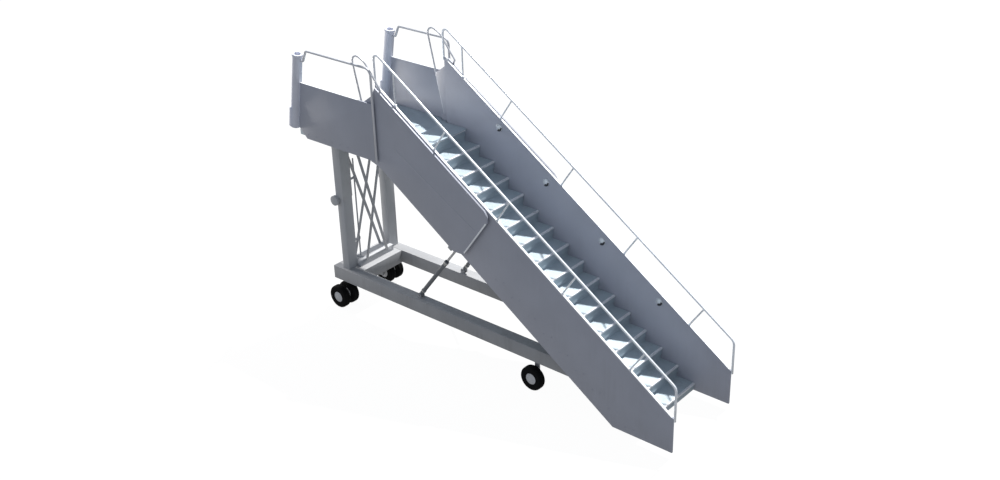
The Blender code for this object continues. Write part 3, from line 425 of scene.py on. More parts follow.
def add_rod(
    shape: bmesh.types.BMesh, start: Point, end: Point, radius: float, steps: int = 24
) -> None:
    """Adds a round rod with closed ends.

    Args:
        shape: the bmesh that takes it.
        start: the middle of its first end.
        end: the middle of its last end.
        radius: its radius.
        steps: the number of facets round it. Six make a hexagon.
    """
    first, last = Vector(start), Vector(end)
    along = last - first
    turn = along.to_track_quat("Z", "Y").to_matrix().to_4x4()
    place = Matrix.Translation((first + last) / 2) @ turn
    bmesh.ops.create_cone(
        shape, cap_ends=True, segments=steps, radius1=radius, radius2=radius,
        depth=along.length, matrix=place,
    )


def add_turned(
    shape: bmesh.types.BMesh,
    profile: Sequence[tuple[float, float]],
    place: Matrix,
    steps: int = 48,
    angle: float = TURN,
) -> None:
    """Adds a closed (radius, height) profile turned about local Z.

    Args:
        shape: the bmesh that takes it.
        profile: the outline's points, in order.
        place: the matrix from the turned shape's space to the machine's.
        steps: the number of facets round it.
        angle: how far it turns. A part turn gets a flat face at each end.
    """
    turned = bmesh.new()
    points = [turned.verts.new((radius, 0, height)) for radius, height in profile]
    pairs = zip(points, [*points[1:], points[0]])
    edges = [turned.edges.new(pair) for pair in pairs]
    bmesh.ops.spin(
        turned, geom=[*points, *edges], cent=(0, 0, 0), axis=(0, 0, 1), angle=angle, steps=steps,
        use_merge=angle == TURN,
    )
    bmesh.ops.remove_doubles(turned, verts=turned.verts, dist=MERGE)
    bmesh.ops.dissolve_degenerate(turned, edges=turned.edges, dist=MERGE)
    if angle < TURN:
        bmesh.ops.holes_fill(turned, edges=turned.edges)
    bmesh.ops.recalc_face_normals(turned, faces=turned.faces)
    bmesh.ops.transform(turned, matrix=place, verts=turned.verts)
    mesh = bpy.data.meshes.new("turned")
    turned.to_mesh(mesh)
    turned.free()
    shape.from_mesh(mesh)
    bpy.data.meshes.remove(mesh)


def add_plate(
    shape: bmesh.types.BMesh, outline: Sequence[tuple[float, float]], y: float, thickness: float
) -> None:
    """Adds a plate square to Y.

    Args:
        shape: the bmesh that takes it.
        outline: its X and Z points, in order.
        y: where its first face lies.
        thickness: how far it grows from there, towards +Y if positive.
    """
    face = shape.faces.new([shape.verts.new((x, y, z)) for x, z in outline])
    grown = bmesh.ops.extrude_face_region(shape, geom=[face])["geom"]
    moved = [item for item in grown if isinstance(item, bmesh.types.BMVert)]
    bmesh.ops.translate(shape, verts=moved, vec=(0, thickness, 0))
    bmesh.ops.recalc_face_normals(shape, faces=shape.faces)


def add_bolt(shape: bmesh.types.BMesh, centre: Point, along: Point, size: float = 0.012) -> None:
    """Adds a washer with a hexagon head on it.

    Args:
        shape: the bmesh that takes it.
        centre: the middle of the washer's seat.
        along: the way that the head stands out.
        size: the bolt's nominal size.
    """
    seat, way = Vector(centre), Vector(along).normalized()
    add_rod(shape, seat, seat + way * size * 0.2, size * 0.95, 16)
    add_rod(shape, seat + way * size * 0.2, seat + way * size * 0.8, size * 0.6, 6)


def soften(shape: bmesh.types.BMesh, width: float, segments: int = 2) -> None:
    """Rounds the sharp edges of a shape.

    Args:
        shape: the bmesh to change.
        width: the bevel's width.
        segments: the bevel's segments.
    """
    sharp = [
        edge
        for edge in shape.edges
        if len(edge.link_faces) == 2 and edge.calc_face_angle(0.0) > BEVEL_ANGLE
    ]
    bmesh.ops.bevel(
        shape, geom=sharp, offset=width, offset_type="OFFSET", segments=segments, profile=0.5,
        affect="EDGES", clamp_overlap=True, material=-1,
    )


def from_node(name: str, whole: bool = True) -> bmesh.types.BMesh:
    """A merged copy of a CAD node's mesh.

    Args:
        name: the node's name.
        whole: whether its flat faces are made whole again.

    Returns:
        The copy.
    """
    shape = bmesh.new()
    shape.from_mesh(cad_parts[name].data)
    bmesh.ops.remove_doubles(shape, verts=shape.verts, dist=MERGE)
    if whole:
        bmesh.ops.dissolve_limit(
            shape, angle_limit=math.radians(0.5), verts=shape.verts, edges=shape.edges
        )
    return shape


def finish_piece(
    name: str,
    shape: bmesh.types.BMesh,
    finish: Finish,
    body: str,
    stands_for: Sequence[str] = (),
) -> bpy.types.Object:
    """Turns a shape into a piece of the machine.

    Args:
        name: the piece's name.
        shape: its mesh, in the machine's frame. It is freed.
        finish: the finish that it gets.
        body: the CAD body that it rides on.
        stands_for: the CAD nodes that it stands for.

    Returns:
        The new object.
    """
    mesh = bpy.data.meshes.new(name)
    shape.to_mesh(mesh)
    shape.free()
    mesh.shade_smooth()
    mesh.set_sharp_from_angle(angle=SMOOTH_ANGLE)
    mesh.materials.append(finish.build())
    piece = bpy.data.objects.new(name, mesh)
    bpy.context.scene.collection.objects.link(piece)
    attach(piece, body)
    if stands_for:
        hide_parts(*stands_for)
    LOG.info("%s: %d faces on %s", name, len(mesh.polygons), body)
    return piece


def refine(
    node: str, finish: Finish, body: str, width: float, segments: int = 2
) -> bpy.types.Object:
    """Stands a copy in for a CAD node, with its edges rounded.

    Args:
        node: the CAD node.
        finish: the finish that it gets.
        body: the CAD body that it rides on.
        width: the bevel's width, or 0 for a copy that keeps every edge as it is.
        segments: the bevel's segments.

    Returns:
        The new object.
    """
    shape = from_node(node, whole=width > 0)
    if width:
        soften(shape, width, segments)
    return finish_piece(f"{node}_finished", shape, finish, body, [node])


# Sub-assemblies


@dataclass
class Flight:
    """The lower stair section: side panels, treads, handrails and step lamps."""

    rise: float = 0.200
    going: float = 0.2935
    count: int = 16
    first_back: float = 0.585
    first_top: float = 0.220
    half_width: float = 0.740
    panel: float = 0.030
    panel_front_top: float = 0.664
    top_back: float = 5.380
    rib_pitch: float = 0.024
    rib_width: float = 0.006
    rib_height: float = 0.0022
    nosing_depth: float = 0.030
    nosing_drop: float = 0.026
    trim: float = 0.0025
    posts: tuple[float, ...] = (0.740, 1.915, 3.090, 4.265, 5.010)
    lamps: tuple[tuple[float, float], ...] = (
        (4.285, 3.42), (3.37, 2.74), (2.31, 2.06), (1.26, 1.38),
    )
    capping_short: float = 0.05
    capping_overhang: float = 0.0015
    capping_lip: float = 0.012
    capping_lip_half: float = 0.001
    flange_radius: float = 0.021
    flange_height: float = 0.008
    collar_radius: float = 0.0165
    collar_top: float = 0.03
    bolt_size: float = 0.009
    bolt_drop: float = 0.035
    bolt_offsets: tuple[float, float] = (-0.06, -0.20)
    bolts_end: float = 3.0
    tread_side_gap: float = 0.004
    lip_set_back: float = 0.006
    lip_thickness: float = 0.0022
    roll_radius: float = 0.0088
    roll_back: float = 0.0075
    roll_drop: float = 0.0065
    rib_side_gap: float = 0.03
    lamp_radius: float = 0.062
    hood_start: float = -math.radians(115)
    hood_angle: float = math.radians(120)
    foot_x: float = field(default_factory=lambda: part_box("lower_side_panel_near")[1].x)

    @property
    def slope(self) -> float:
        """Rise over going."""
        return self.rise / self.going

    def along(self) -> Matrix:
        """The turn from level to the flight's slope."""
        return Matrix.Rotation(math.atan(self.slope), 4, "Y")

    def top(self, back: float) -> float:
        """Height of the panels' top edge, this far back from the foot."""
        return self.panel_front_top + self.slope * back

    def build(self) -> None:
        """Builds every piece of the flight."""
        for side, sign in SIDES:
            refine(f"lower_side_panel_{side}", Finishes.PANEL, Body.LOWER.value, 0.003)
            refine(f"handrail_{side}", Finishes.RAIL, Body.LOWER.value, 0)
            self.build_trim(side, sign)
            self.build_feet(side, sign)
            self.build_lamps(side, sign)
            self.build_fixings(side, sign)
        self.build_treads()
        refine("stair_pivot_shaft", Finishes.ROD, Body.LOWER.value, 0.002)

    def build_trim(self, side: str, sign: int) -> None:
        """A capping strip on the panel's sloping top edge, near white as a painted highlight for
        the lit top edge.

        Args:
            side: the side's name.
            sign: the side's direction along Y.
        """
        shape = bmesh.new()
        length = (self.top_back - self.capping_short) / math.cos(math.atan(self.slope))
        middle_back = self.top_back / 2
        y = sign * (self.half_width + self.panel / 2)
        centre = Vector((self.foot_x - middle_back, y, self.top(middle_back)))
        place = Matrix.Translation(centre) @ self.along()
        half = self.panel / 2 + self.capping_overhang
        add_box(shape, (-length / 2, -half, 0), (length / 2, half, self.trim), place)
        lip_low = (-length / 2, sign * half - self.capping_lip_half, -self.capping_lip)
        lip_high = (length / 2, sign * half + self.capping_lip_half, self.trim)
        add_box(shape, lip_low, lip_high, place)
        # The capping's near-white colour is a painted highlight.
        finish_piece(f"panel_capping_{side}", shape, Finishes.HIGHLIGHT_TRIM, Body.LOWER.value)

    def build_feet(self, side: str, sign: int) -> None:
        """Round base flanges and clamp collars where the rail's posts meet the panel.

        Args:
            side: the side's name.
            sign: the side's direction along Y.
        """
        shape = bmesh.new()
        y = sign * (self.half_width + self.panel / 2)
        lean = math.atan(self.slope)
        square = Vector((math.sin(lean), 0, math.cos(lean)))
        for back in self.posts:
            seat = Vector((self.foot_x - back, y, self.top(back)))
            step = seat + square * self.flange_height
            add_rod(shape, seat, step, self.flange_radius, 24)
            add_rod(shape, step, seat + square * self.collar_top, self.collar_radius, 24)
        soften(shape, 0.0015, 1)
        finish_piece(f"rail_post_feet_{side}", shape, Finishes.RAIL, Body.LOWER.value)

    def build_lamps(self, side: str, sign: int) -> None:
        """Round step lamps on the panel's inner face: a ring, a hood in near black as painted shade
        for the lamp's dark crescent, and a lens.

        Args:
            side: the side's name.
            sign: the side's direction along Y.
        """
        ring, lens, hood = bmesh.new(), bmesh.new(), bmesh.new()
        radius = self.lamp_radius
        for back, height in self.lamps:
            centre = Vector((self.foot_x - back, sign * self.half_width, height))
            turn = Matrix.Rotation(sign * math.pi / 2, 4, "X")
            place = Matrix.Translation(centre) @ turn
            outline = [
                (radius, 0), (radius, 0.006), (radius - 0.006, 0.011),
                (0.78 * radius, 0.011), (0.70 * radius, 0.004), (0.70 * radius, 0),
            ]
            add_turned(ring, outline, place)
            dome = [
                (0, 0), (0.68 * radius, 0), (0.68 * radius, 0.003),
                (0.5 * radius, 0.008), (0.25 * radius, 0.0105), (0, 0.011),
            ]
            add_turned(lens, dome, place)
            shade = [
                (0.45 * radius, 0.010), (0.96 * radius, 0.012), (0.96 * radius, 0.024),
                (0.88 * radius, 0.026), (0.45 * radius, 0.016),
            ]
            start = Matrix.Rotation(self.hood_start, 4, "Z")
            add_turned(hood, shade, place @ start, 24, self.hood_angle)
        body = Body.LOWER.value
        finish_piece(f"step_lamp_rings_{side}", ring, Finishes.LAMP_RING, body)
        finish_piece(f"step_lamp_lenses_{side}", lens, Finishes.LENS, body)
        # The hoods' near-black colour is painted shade.
        finish_piece(f"step_lamp_hoods_{side}", hood, Finishes.PAINTED_SHADE_BLACK, body)

    def build_fixings(self, side: str, sign: int) -> None:
        """Bolts through the panel where the lower treads are fixed.

        Args:
            side: the side's name.
            sign: the side's direction along Y.
        """
        shape = bmesh.new()
        y = sign * (self.half_width + self.panel)
        for step in range(self.count):
            x = self.foot_x - self.first_back - step * self.going
            z = self.first_top + step * self.rise - self.bolt_drop
            if step * self.going + self.first_back > self.bolts_end:
                continue
            for offset in self.bolt_offsets:
                add_bolt(shape, (x + offset, y, z), (0, sign, 0), self.bolt_size)
        finish_piece(f"tread_bolts_{side}", shape, Finishes.PANEL, Body.LOWER.value)

    def build_treads(self) -> None:
        """Folded treads with a nosing, near white as a painted highlight for the lit nose edges,
        and grip ribs.
        """
        nosing, ribs = bmesh.new(), bmesh.new()
        reach = self.half_width - self.tread_side_gap
        for step in range(self.count):
            node = f"tread_{step + 1:02d}"
            refine(node, Finishes.TREAD, Body.LOWER.value, 0.0015)
            x = self.foot_x - self.first_back - step * self.going
            z = self.first_top + step * self.rise
            low = (x - self.nosing_depth, -reach, z)
            add_box(nosing, low, (x - self.lip_set_back, reach, z + self.lip_thickness))
            drop = z - self.nosing_drop
            add_box(nosing, (x - 0.0005, -reach, drop), (x + 0.0018, reach, z - 0.008))
            roll_x, roll_z = x - self.roll_back, z - self.roll_drop
            ends = (roll_x, -reach, roll_z), (roll_x, reach, roll_z)
            add_rod(nosing, *ends, self.roll_radius, 16)
            count = int((self.going - self.nosing_depth - 0.02) / self.rib_pitch)
            for rib in range(count):
                start = x - self.nosing_depth - (rib + 0.8) * self.rib_pitch
                add_box(
                    ribs,
                    (start - self.rib_width, -reach + self.rib_side_gap, z),
                    (start, reach - self.rib_side_gap, z + self.rib_height),
                )
        soften(nosing, 0.0008, 1)
        body = Body.LOWER.value
        finish_piece("tread_nosings", nosing, Finishes.HIGHLIGHT_NOSING, body)
        finish_piece("tread_ribs", ribs, Finishes.TREAD, body)


@dataclass
class UpperSection:
    """The telescoping upper section: outer panels, hoops and the cross beam."""

    flight: Flight
    outside: float = 0.830
    crease_width: float = 0.030
    crease_proud: float = 0.0022
    end_width: float = 0.022
    end_proud: float = 0.003
    crease_from: tuple[float, float] = (5.00, 3.40)
    crease_to: tuple[float, float] = (3.46, 2.50)
    end_from: tuple[float, float] = (3.245, 2.695)
    end_to: tuple[float, float] = (3.695, 2.075)

    def build(self) -> None:
        """Builds every piece of the upper section."""
        body = Body.UPPER.value
        for side, sign in SIDES:
            refine(f"upper_side_panel_{side}", Finishes.PANEL, body, 0.003)
            # The hoops' darker tube colour is painted shade.
            refine(f"upper_hoop_{side}", Finishes.SHADE_DARKENED_TUBE, body, 0)
            self.build_crease(side, sign)
            self.build_end_strip(side, sign)
        refine("carriage_beam", Finishes.MAST, body, 0.003)

    def strip(
        self, start: Point, end: Point, sign: int, width: float, proud: float
    ) -> bmesh.types.BMesh:
        """A flat strip on the panel's outer face.

        Args:
            start: how far back and how high it starts.
            end: how far back and how high it ends.
            sign: the side's direction along Y.
            width: its width.
            proud: how far it stands out.

        Returns:
            The strip's bmesh.
        """
        shape = bmesh.new()
        x0, x1 = self.flight.foot_x - start[0], self.flight.foot_x - end[0]
        first, last = Vector((x0, 0, start[1])), Vector((x1, 0, end[1]))
        way = (last - first).normalized()
        square = Vector((-way.z, 0, way.x)) * width / 2
        corners = [first - square, last - square, last + square, first + square]
        y = sign * self.outside
        add_plate(shape, [(corner.x, corner.z) for corner in corners], y, sign * proud)
        return shape

    def build_crease(self, side: str, sign: int) -> None:
        """The pressed line along the outer face.

        Args:
            side: the side's name.
            sign: the side's direction along Y.
        """
        ends = self.crease_from, self.crease_to
        shape = self.strip(*ends, sign, self.crease_width, self.crease_proud)
        soften(shape, 0.003, 2)
        name = f"pressed_crease_{side}"
        finish_piece(name, shape, Finishes.PANEL, Body.UPPER.value)

    def build_end_strip(self, side: str, sign: int) -> None:
        """A strip at the panel's lower end, near white as a painted highlight for the lit end edge.

        Args:
            side: the side's name.
            sign: the side's direction along Y.
        """
        shape = self.strip(self.end_from, self.end_to, sign, self.end_width, self.end_proud)
        soften(shape, 0.001, 1)
        name = f"panel_end_strip_{side}"
        # The end strip's near-white colour is a painted highlight.
        finish_piece(name, shape, Finishes.HIGHLIGHT_TRIM, Body.UPPER.value)


@dataclass
class Platform:
    """The lifting platform: deck, walls, rails and bumper posts."""

    flight: Flight
    wall_outside: float = 0.870
    capping_inner: float = 0.0215
    capping_overhang: float = 0.0015
    capping_thickness: float = 0.0025
    capping_rear: float = 0.09
    capping_front: float = 0.30
    bolt_count: int = 7
    bolt_start: float = 0.12
    bolt_drop: float = 0.045
    bolt_size: float = 0.009
    rib_pitch: float = 0.030
    rib_width: float = 0.006
    rib_height: float = 0.002
    rib_side_gap: float = 0.02
    rib_end_gap: float = 0.03
    front_edge: Colour = (-1, 0.18, 0)

    def build(self) -> None:
        """Builds every piece of the platform."""
        body = Body.PLATFORM.value
        refine("deck", Finishes.TREAD, body, 0.0015)
        refine("landing_plate", Finishes.TREAD, body, 0.001)
        for side, sign in SIDES:
            refine(f"platform_wall_{side}", Finishes.PANEL, body, 0.003)
            # The platform rails' darker tube colour is painted shade.
            refine(f"platform_rail_{side}", Finishes.SHADE_DARKENED_TUBE, body, 0)
            refine(f"bumper_post_{side}", Finishes.BUMPER, body, 0.004)
            refine(f"mast_sleeve_{side}", Finishes.MAST, body, 0.0015)
            self.build_wall_trim(side, sign)
        self.build_ribs()

    def build_wall_trim(self, side: str, sign: int) -> None:
        """A capping on the wall's level top edge, near white as a painted highlight for the lit top
        edge, and bolts to the deck.

        Args:
            side: the side's name.
            sign: the side's direction along Y.
        """
        low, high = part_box(f"platform_wall_{side}")
        rear = low.x + self.capping_rear
        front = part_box(f"platform_rail_{side}")[1].x - self.capping_front
        shape = bmesh.new()
        top = high.z
        inner, outer = sorted((
            sign * (self.wall_outside - self.capping_inner),
            sign * (self.wall_outside + self.capping_overhang),
        ))
        add_box(shape, (rear, inner, top), (front, outer, top + self.capping_thickness))
        # The wall capping's near-white colour is a painted highlight.
        finish_piece(f"wall_capping_{side}", shape, Finishes.HIGHLIGHT_TRIM, Body.PLATFORM.value)
        bolts = bmesh.new()
        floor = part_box("landing_plate")[1].z
        for number in range(self.bolt_count):
            x = rear + self.bolt_start + number * (front - rear - 0.1) / self.bolt_count
            seat = (x, sign * self.wall_outside, floor - self.bolt_drop)
            add_bolt(bolts, seat, (0, sign, 0), self.bolt_size)
        finish_piece(f"wall_bolts_{side}", bolts, Finishes.PANEL, Body.PLATFORM.value)

    def build_ribs(self) -> None:
        """Grip ribs across the deck, cut to its skewed front edge."""
        low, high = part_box("deck")
        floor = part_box("landing_plate")[1].z
        shape = bmesh.new()
        reach = self.flight.half_width - self.rib_side_gap
        count = int((high.x - low.x - 0.06) / self.rib_pitch)
        for rib in range(count):
            x = high.x - self.rib_end_gap - rib * self.rib_pitch
            add_box(shape, (x - self.rib_width, -reach, floor), (x, reach, floor + self.rib_height))
        skew = max(0.0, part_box("platform_wall_far")[0].x - low.x)
        bmesh.ops.bisect_plane(
            shape,
            geom=[*shape.verts, *shape.edges, *shape.faces],
            plane_co=(low.x + self.rib_end_gap + skew / 2, 0, floor),
            plane_no=Vector(self.front_edge),
            clear_outer=True,
        )
        bmesh.ops.holes_fill(shape, edges=shape.edges)
        finish_piece("deck_ribs", shape, Finishes.TREAD, Body.PLATFORM.value)


@dataclass
class Undercarriage:
    """The chassis frame, its end caps and weld beads, and the mast on it."""

    wall: float = 0.006
    cap_thickness: float = 0.006
    cap_inset: float = 0.004
    bead: float = 0.0045
    pipe_side: float = -0.24
    pipe_radius: float = 0.013
    pipe_low: float = 0.850
    pipe_high: float = 2.640
    brackets: tuple[float, float] = (2.30, 1.19)

    def build(self) -> None:
        """Builds every piece of the chassis and the mast."""
        body = Body.CHASSIS.value
        for node in ("rear_cross_member", "front_yoke", "front_axle", "rear_axle"):
            refine(node, Finishes.CHASSIS, body, 0.004)
        for side, _ in SIDES:
            refine(f"chassis_rail_{side}", Finishes.CHASSIS, body, 0.004)
            refine(f"mast_column_{side}", Finishes.MAST, body, 0.003)
        for node in ("mast_base_brace", "mast_header_brace"):
            refine(node, Finishes.MAST, body, 0)
        self.build_caps()
        self.build_welds()
        self.build_pipe()

    def build_caps(self) -> None:
        """Plates that close the rails' ends and the columns' tops."""
        shape = bmesh.new()
        for side, _ in SIDES:
            low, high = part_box(f"chassis_rail_{side}")
            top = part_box("rear_cross_member")[1].z
            inset, thick = self.cap_inset, self.cap_thickness
            for x in (low.x + 0.001, high.x - 0.007):
                corner = (x, low.y + inset, low.z + inset)
                add_box(shape, corner, (x + thick, high.y - inset, top - inset))
            column_low, column_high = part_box(f"mast_column_{side}")
            inset = self.wall - 0.001
            add_box(
                shape,
                (column_low.x + inset, column_low.y + inset, column_high.z - 0.007),
                (column_high.x - inset, column_high.y - inset, column_high.z - 0.001),
            )
        finish_piece("tube_end_caps", shape, Finishes.CHASSIS, Body.CHASSIS.value)

    def build_welds(self) -> None:
        """Weld beads round the columns' feet and along the cross members' joints."""
        shape = bmesh.new()
        for side, _ in SIDES:
            low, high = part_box(f"mast_column_{side}")
            z = low.z
            corners = [(low.x, low.y), (high.x, low.y), (high.x, high.y), (low.x, high.y)]
            for (x0, y0), (x1, y1) in zip(corners, [*corners[1:], corners[0]]):
                add_rod(shape, (x0, y0, z), (x1, y1, z), self.bead, 10)
        low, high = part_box("rear_cross_member")
        for y in (low.y, high.y):
            corner = (high.x, y, high.z)
            add_rod(shape, (low.x, y, high.z), corner, self.bead, 10)
            add_rod(shape, (high.x, y, low.z + 0.01), corner, self.bead, 10)
        finish_piece("weld_beads", shape, Finishes.WELD, Body.CHASSIS.value)

    def build_pipe(self) -> None:
        """The upright pipe beside the near column, on its two brackets."""
        column_low, column_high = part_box("mast_column_near")
        x = (column_low.x + column_high.x) / 2
        y = self.pipe_side
        shape = bmesh.new()
        add_rod(shape, (x, y, self.pipe_low), (x, y, self.pipe_high), self.pipe_radius, 20)
        for height in self.brackets:
            add_box(shape, (x - 0.02, column_high.y, height - 0.012), (x + 0.02, y, height + 0.012))
            add_rod(shape, (x, y, height - 0.02), (x, y, height + 0.02), 0.022, 20)
        soften(shape, 0.0015, 1)
        finish_piece("mast_pipe", shape, Finishes.MAST, Body.CHASSIS.value)


@dataclass
class Rams:
    """The two lifting rams, each a barrel with a gland and a chromed rod."""

    tilt: float = math.radians(52.3374589)
    gland_radius: float = 0.040
    gland: tuple[float, float] = (0.055, 0.012)
    gland_nut: tuple[float, float] = (0.085, 0.068)
    base_collar: tuple[float, float] = (0.10, 0.03)
    foot_back: float = 4.950
    foot_height: float = 0.800
    side: float = 0.520
    barrel_end: float = 1.000

    def build(self, foot_x: float) -> None:
        """Builds both rams.

        Args:
            foot_x: where the flight's foot is along X.
        """
        way = Vector((math.cos(self.tilt), 0, math.sin(self.tilt)))
        for side, sign in SIDES:
            barrel, rod = f"ram_barrel_{side}", f"ram_rod_{side}"
            refine(barrel, Finishes.RAM, barrel, 0.0015)
            refine(rod, Finishes.ROD, rod, 0.0015)
            foot = Vector((foot_x - self.foot_back, sign * self.side, self.foot_height))
            shape = bmesh.new()
            end = foot + way * self.barrel_end
            low, high = self.gland
            add_rod(shape, end - way * low, end - way * high, self.gland_radius, 32)
            low, high = self.gland_nut
            add_rod(shape, end - way * low, end - way * high, self.gland_radius - 0.002, 6)
            base = foot + way * self.base_collar[0]
            add_rod(shape, base, base + way * self.base_collar[1], self.gland_radius, 32)
            soften(shape, 0.0015, 1)
            finish_piece(f"ram_gland_{side}", shape, Finishes.STEEL, barrel)


@dataclass
class Wheel:
    """A solid tyre on a pressed disc."""

    tyres: tuple[str, ...]
    disc: str
    body: str
    sign: int
    disc_radius: float = 0.092
    shoulder: float = 0.030
    bolt_circle: float = 0.060
    bolts: int = 6
    cap_radius: float = 0.030
    cap_height: float = 0.0045
    nut_radius: float = 0.0085
    nut_height: float = 0.005

    def build(self) -> None:
        """Builds the tyres and the disc."""
        for node in self.tyres:
            self.build_tyre(node)
        refine(self.disc, Finishes.WHEEL, self.body, 0.003)
        self.build_cap()

    def place(self, node: str) -> tuple[Matrix, float, float]:
        """Where a wheel piece is and how large.

        Args:
            node: the CAD node.

        Returns:
            Its matrix, its radius and half its width.
        """
        low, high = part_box(node)
        middle = (low + high) / 2
        turn = Matrix.Rotation(-self.sign * math.pi / 2, 4, "X")
        return Matrix.Translation(middle) @ turn, (high.z - low.z) / 2, (high.y - low.y) / 2

    def build_tyre(self, node: str) -> None:
        """A tyre with round shoulders, a sidewall step and two tread grooves.

        Args:
            node: the CAD node.
        """
        place, radius, half = self.place(node)
        inner, round_by = self.disc_radius + 0.0005, self.shoulder
        corner = radius - round_by
        side = half - round_by
        turns = [index / 8 * math.pi / 2 for index in range(9)]
        upper = [(corner + round_by * math.sin(a), side + round_by * math.cos(a)) for a in turns]
        bottom = radius - 0.004
        groove = [(radius, 0.012), (bottom, 0.010), (bottom, 0.006), (radius, 0.004)]
        mirrored = [(r, -h) for r, h in reversed(groove)]
        lower = [(r, -h) for r, h in reversed(upper)]
        wall = [
            (inner, half - 0.006), (inner + 0.006, half), (inner + 0.016, half),
            (inner + 0.019, half - 0.003), (inner + 0.028, half - 0.003), (inner + 0.032, half),
        ]
        back_wall = [(r, -h) for r, h in reversed(wall)]
        profile = [*wall, *upper, *groove, *mirrored, *lower, *back_wall]
        shape = bmesh.new()
        add_turned(shape, profile, place, 64)
        finish_piece(f"{node}_solid", shape, Finishes.TYRE, self.body, [node])

    def build_cap(self) -> None:
        """A raised centre cap and a ring of nuts on the disc's outer face."""
        low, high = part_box(self.disc)
        middle = (low + high) / 2
        face = high.y if self.sign > 0 else low.y
        shape = bmesh.new()
        centre = Vector((middle.x, face, middle.z))
        out = Vector((0, self.sign, 0))
        add_rod(shape, centre, centre + out * self.cap_height, self.cap_radius, 32)
        for index in range(self.bolts):
            turn = TURN * index / self.bolts
            offset = Vector((math.cos(turn), 0, math.sin(turn))) * self.bolt_circle
            seat = centre + offset
            add_rod(shape, seat, seat + out * self.nut_height, self.nut_radius, 6)
        soften(shape, 0.001, 1)
        finish_piece(f"{self.disc}_nuts", shape, Finishes.WHEEL, self.body)


# Studio


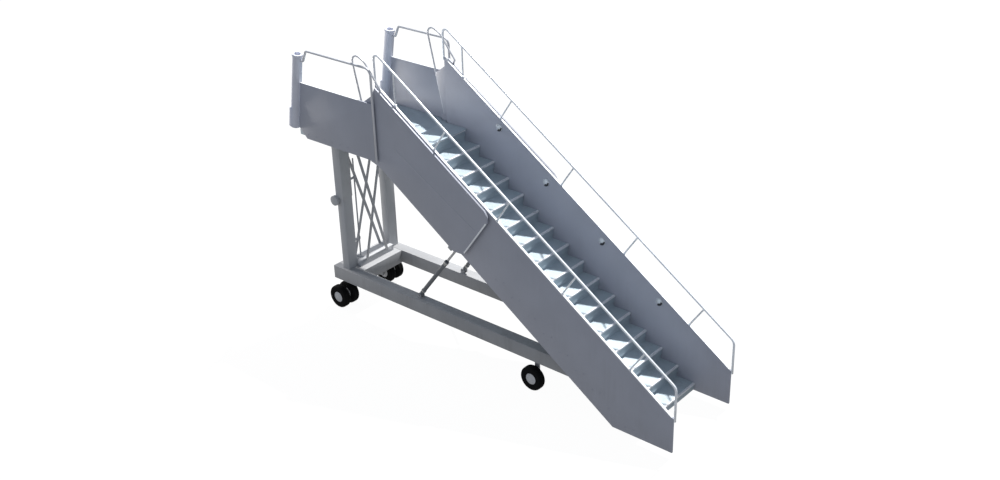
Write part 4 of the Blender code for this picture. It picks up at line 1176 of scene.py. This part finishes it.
@dataclass(frozen=True)
class Studio:
    """The floor, the lights and the camera."""

    position: Colour = (11.235, -13.101, 10.891)
    azimuth: float = 0.711293
    elevation: float = 0.477044
    roll: float = -0.028975
    lens: float = 45.78
    sun: Colour = (0.0, -0.55, -1.0)
    sun_energy: float = 6.5
    sun_spread: float = math.radians(2.0)
    sun_colour: Colour = (1.0, 0.985, 0.965)
    ambient: Colour = (0.36, 0.40, 0.47)
    fill_place: Colour = (-8.5, -0.5, 2.6)
    fill_aim: Colour = (-2.5, 0.0, 0.75)
    fill_size: float = 2.5
    fill_power: float = 260.0
    fill_colour: Colour = (1.0, 0.95, 0.90)
    floor_size: float = 400.0
    floor_grey: float = 0.04
    floor_glow: float = 0.97
    floor_bounce: float = 0.34

    def build(self) -> None:
        """Builds the whole studio."""
        self.build_camera()
        self.build_light()
        self.build_floor()

    def build_camera(self) -> None:
        """Places the camera by two angles and a small roll."""
        level = math.cos(self.elevation)
        ahead = Vector((
            -math.sin(self.azimuth) * level,
            math.cos(self.azimuth) * level,
            -math.sin(self.elevation),
        ))
        right = ahead.cross(Vector((0, 0, 1))).normalized()
        upward = right.cross(ahead)
        cosine, sine = math.cos(self.roll), math.sin(self.roll)
        rolled_right = cosine * right + sine * upward
        rolled_up = cosine * upward - sine * right
        data = bpy.data.cameras.new("camera")
        data.lens = self.lens
        data.sensor_width = 36.0
        data.clip_end = 500.0
        camera = bpy.data.objects.new("camera", data)
        bpy.context.scene.collection.objects.link(camera)
        turn = Matrix((rolled_right, rolled_up, -ahead)).transposed().to_4x4()
        camera.matrix_world = Matrix.Translation(self.position) @ turn
        bpy.context.scene.camera = camera

    def build_light(self) -> None:
        """A key from the far side, a warm fill from behind, and an even room."""
        key = self.add_lamp("key", "SUN", Vector(self.sun), self.sun_colour, self.sun_energy)
        key.data.angle = self.sun_spread
        way = Vector(self.fill_aim) - Vector(self.fill_place)
        fill = self.add_lamp("rear_fill", "AREA", way, self.fill_colour, self.fill_power)
        fill.data.shape = "DISK"
        fill.data.size = self.fill_size
        fill.location = self.fill_place
        world = bpy.data.worlds.new("room")
        world.use_nodes = True
        world.node_tree.nodes.clear()
        tree = Tree(world.node_tree)
        seen = tree.add("LightPath").outputs["Is Camera Ray"]
        colour = tree.mix(seen, (*self.ambient, 1.0), (1.0, 1.0, 1.0, 1.0))
        room = tree.add("Background", {"Color": colour, "Strength": 1.0})
        tree.add("OutputWorld", {"Surface": room.outputs[0]})
        bpy.context.scene.world = world
        bpy.context.scene.view_settings.view_transform = "Standard"

    @staticmethod
    def add_lamp(
        name: str, kind: str, way: Vector, colour: Colour, energy: float
    ) -> bpy.types.Object:
        """Adds a lamp.

        Args:
            name: its name.
            kind: Blender's type of light.
            way: the way that it shines.
            colour: its colour.
            energy: its strength.

        Returns:
            The lamp.
        """
        data = bpy.data.lights.new(name, kind)
        data.energy = energy
        data.color = colour
        lamp = bpy.data.objects.new(name, data)
        bpy.context.scene.collection.objects.link(lamp)
        lamp.rotation_mode = "QUATERNION"
        lamp.rotation_quaternion = way.to_track_quat("-Z", "Y")
        return lamp

    def build_floor(self) -> None:
        """A wide pale floor that takes only a faint shadow."""
        shape = bmesh.new()
        bmesh.ops.create_grid(shape, x_segments=1, y_segments=1, size=self.floor_size / 2)
        mesh = bpy.data.meshes.new("floor")
        shape.to_mesh(mesh)
        shape.free()
        material = bpy.data.materials.new("Pale floor")
        material.use_nodes = True
        material.node_tree.nodes.clear()
        tree = Tree(material.node_tree)
        seen = tree.add("LightPath").outputs["Is Camera Ray"]
        strength = tree.spread(seen, 0.0, 1.0, (self.floor_bounce, self.floor_glow))
        grey = (self.floor_grey, self.floor_grey, self.floor_grey, 1.0)
        matt = tree.add("BsdfDiffuse", {"Color": grey})
        glow = tree.add("Emission", {"Color": (1.0, 1.0, 1.0, 1.0), "Strength": strength})
        both = tree.add("AddShader", {0: matt.outputs[0], 1: glow.outputs[0]})
        tree.add("OutputMaterial", {"Surface": both.outputs[0]})
        mesh.materials.append(material)
        floor = bpy.data.objects.new("floor", mesh)
        bpy.context.scene.collection.objects.link(floor)


def wheels() -> list[Wheel]:
    """The four wheel stations.

    Returns:
        A wheel for each front corner and a twin wheel for each rear one.
    """
    found = []
    for side, sign in SIDES:
        tyres = (f"front_tyre_{side}",)
        found.append(Wheel(tyres, f"front_wheel_{side}", f"front_wheel_{side}", sign))
        tyres = (f"rear_tyre_{side}_inner", f"rear_tyre_{side}_outer")
        found.append(Wheel(tyres, f"rear_twin_wheel_{side}", f"rear_wheels_{side}", sign))
    return found


def main() -> None:
    """Builds the studio and the machine."""
    logging.basicConfig(level=logging.INFO, format="%(message)s")
    Studio().build()
    flight = Flight()
    flight.build()
    UpperSection(flight).build()
    Platform(flight).build()
    Undercarriage().build()
    Rams().build(flight.foot_x)
    for wheel in wheels():
        wheel.build()


if __name__ == "__main__":
    main()
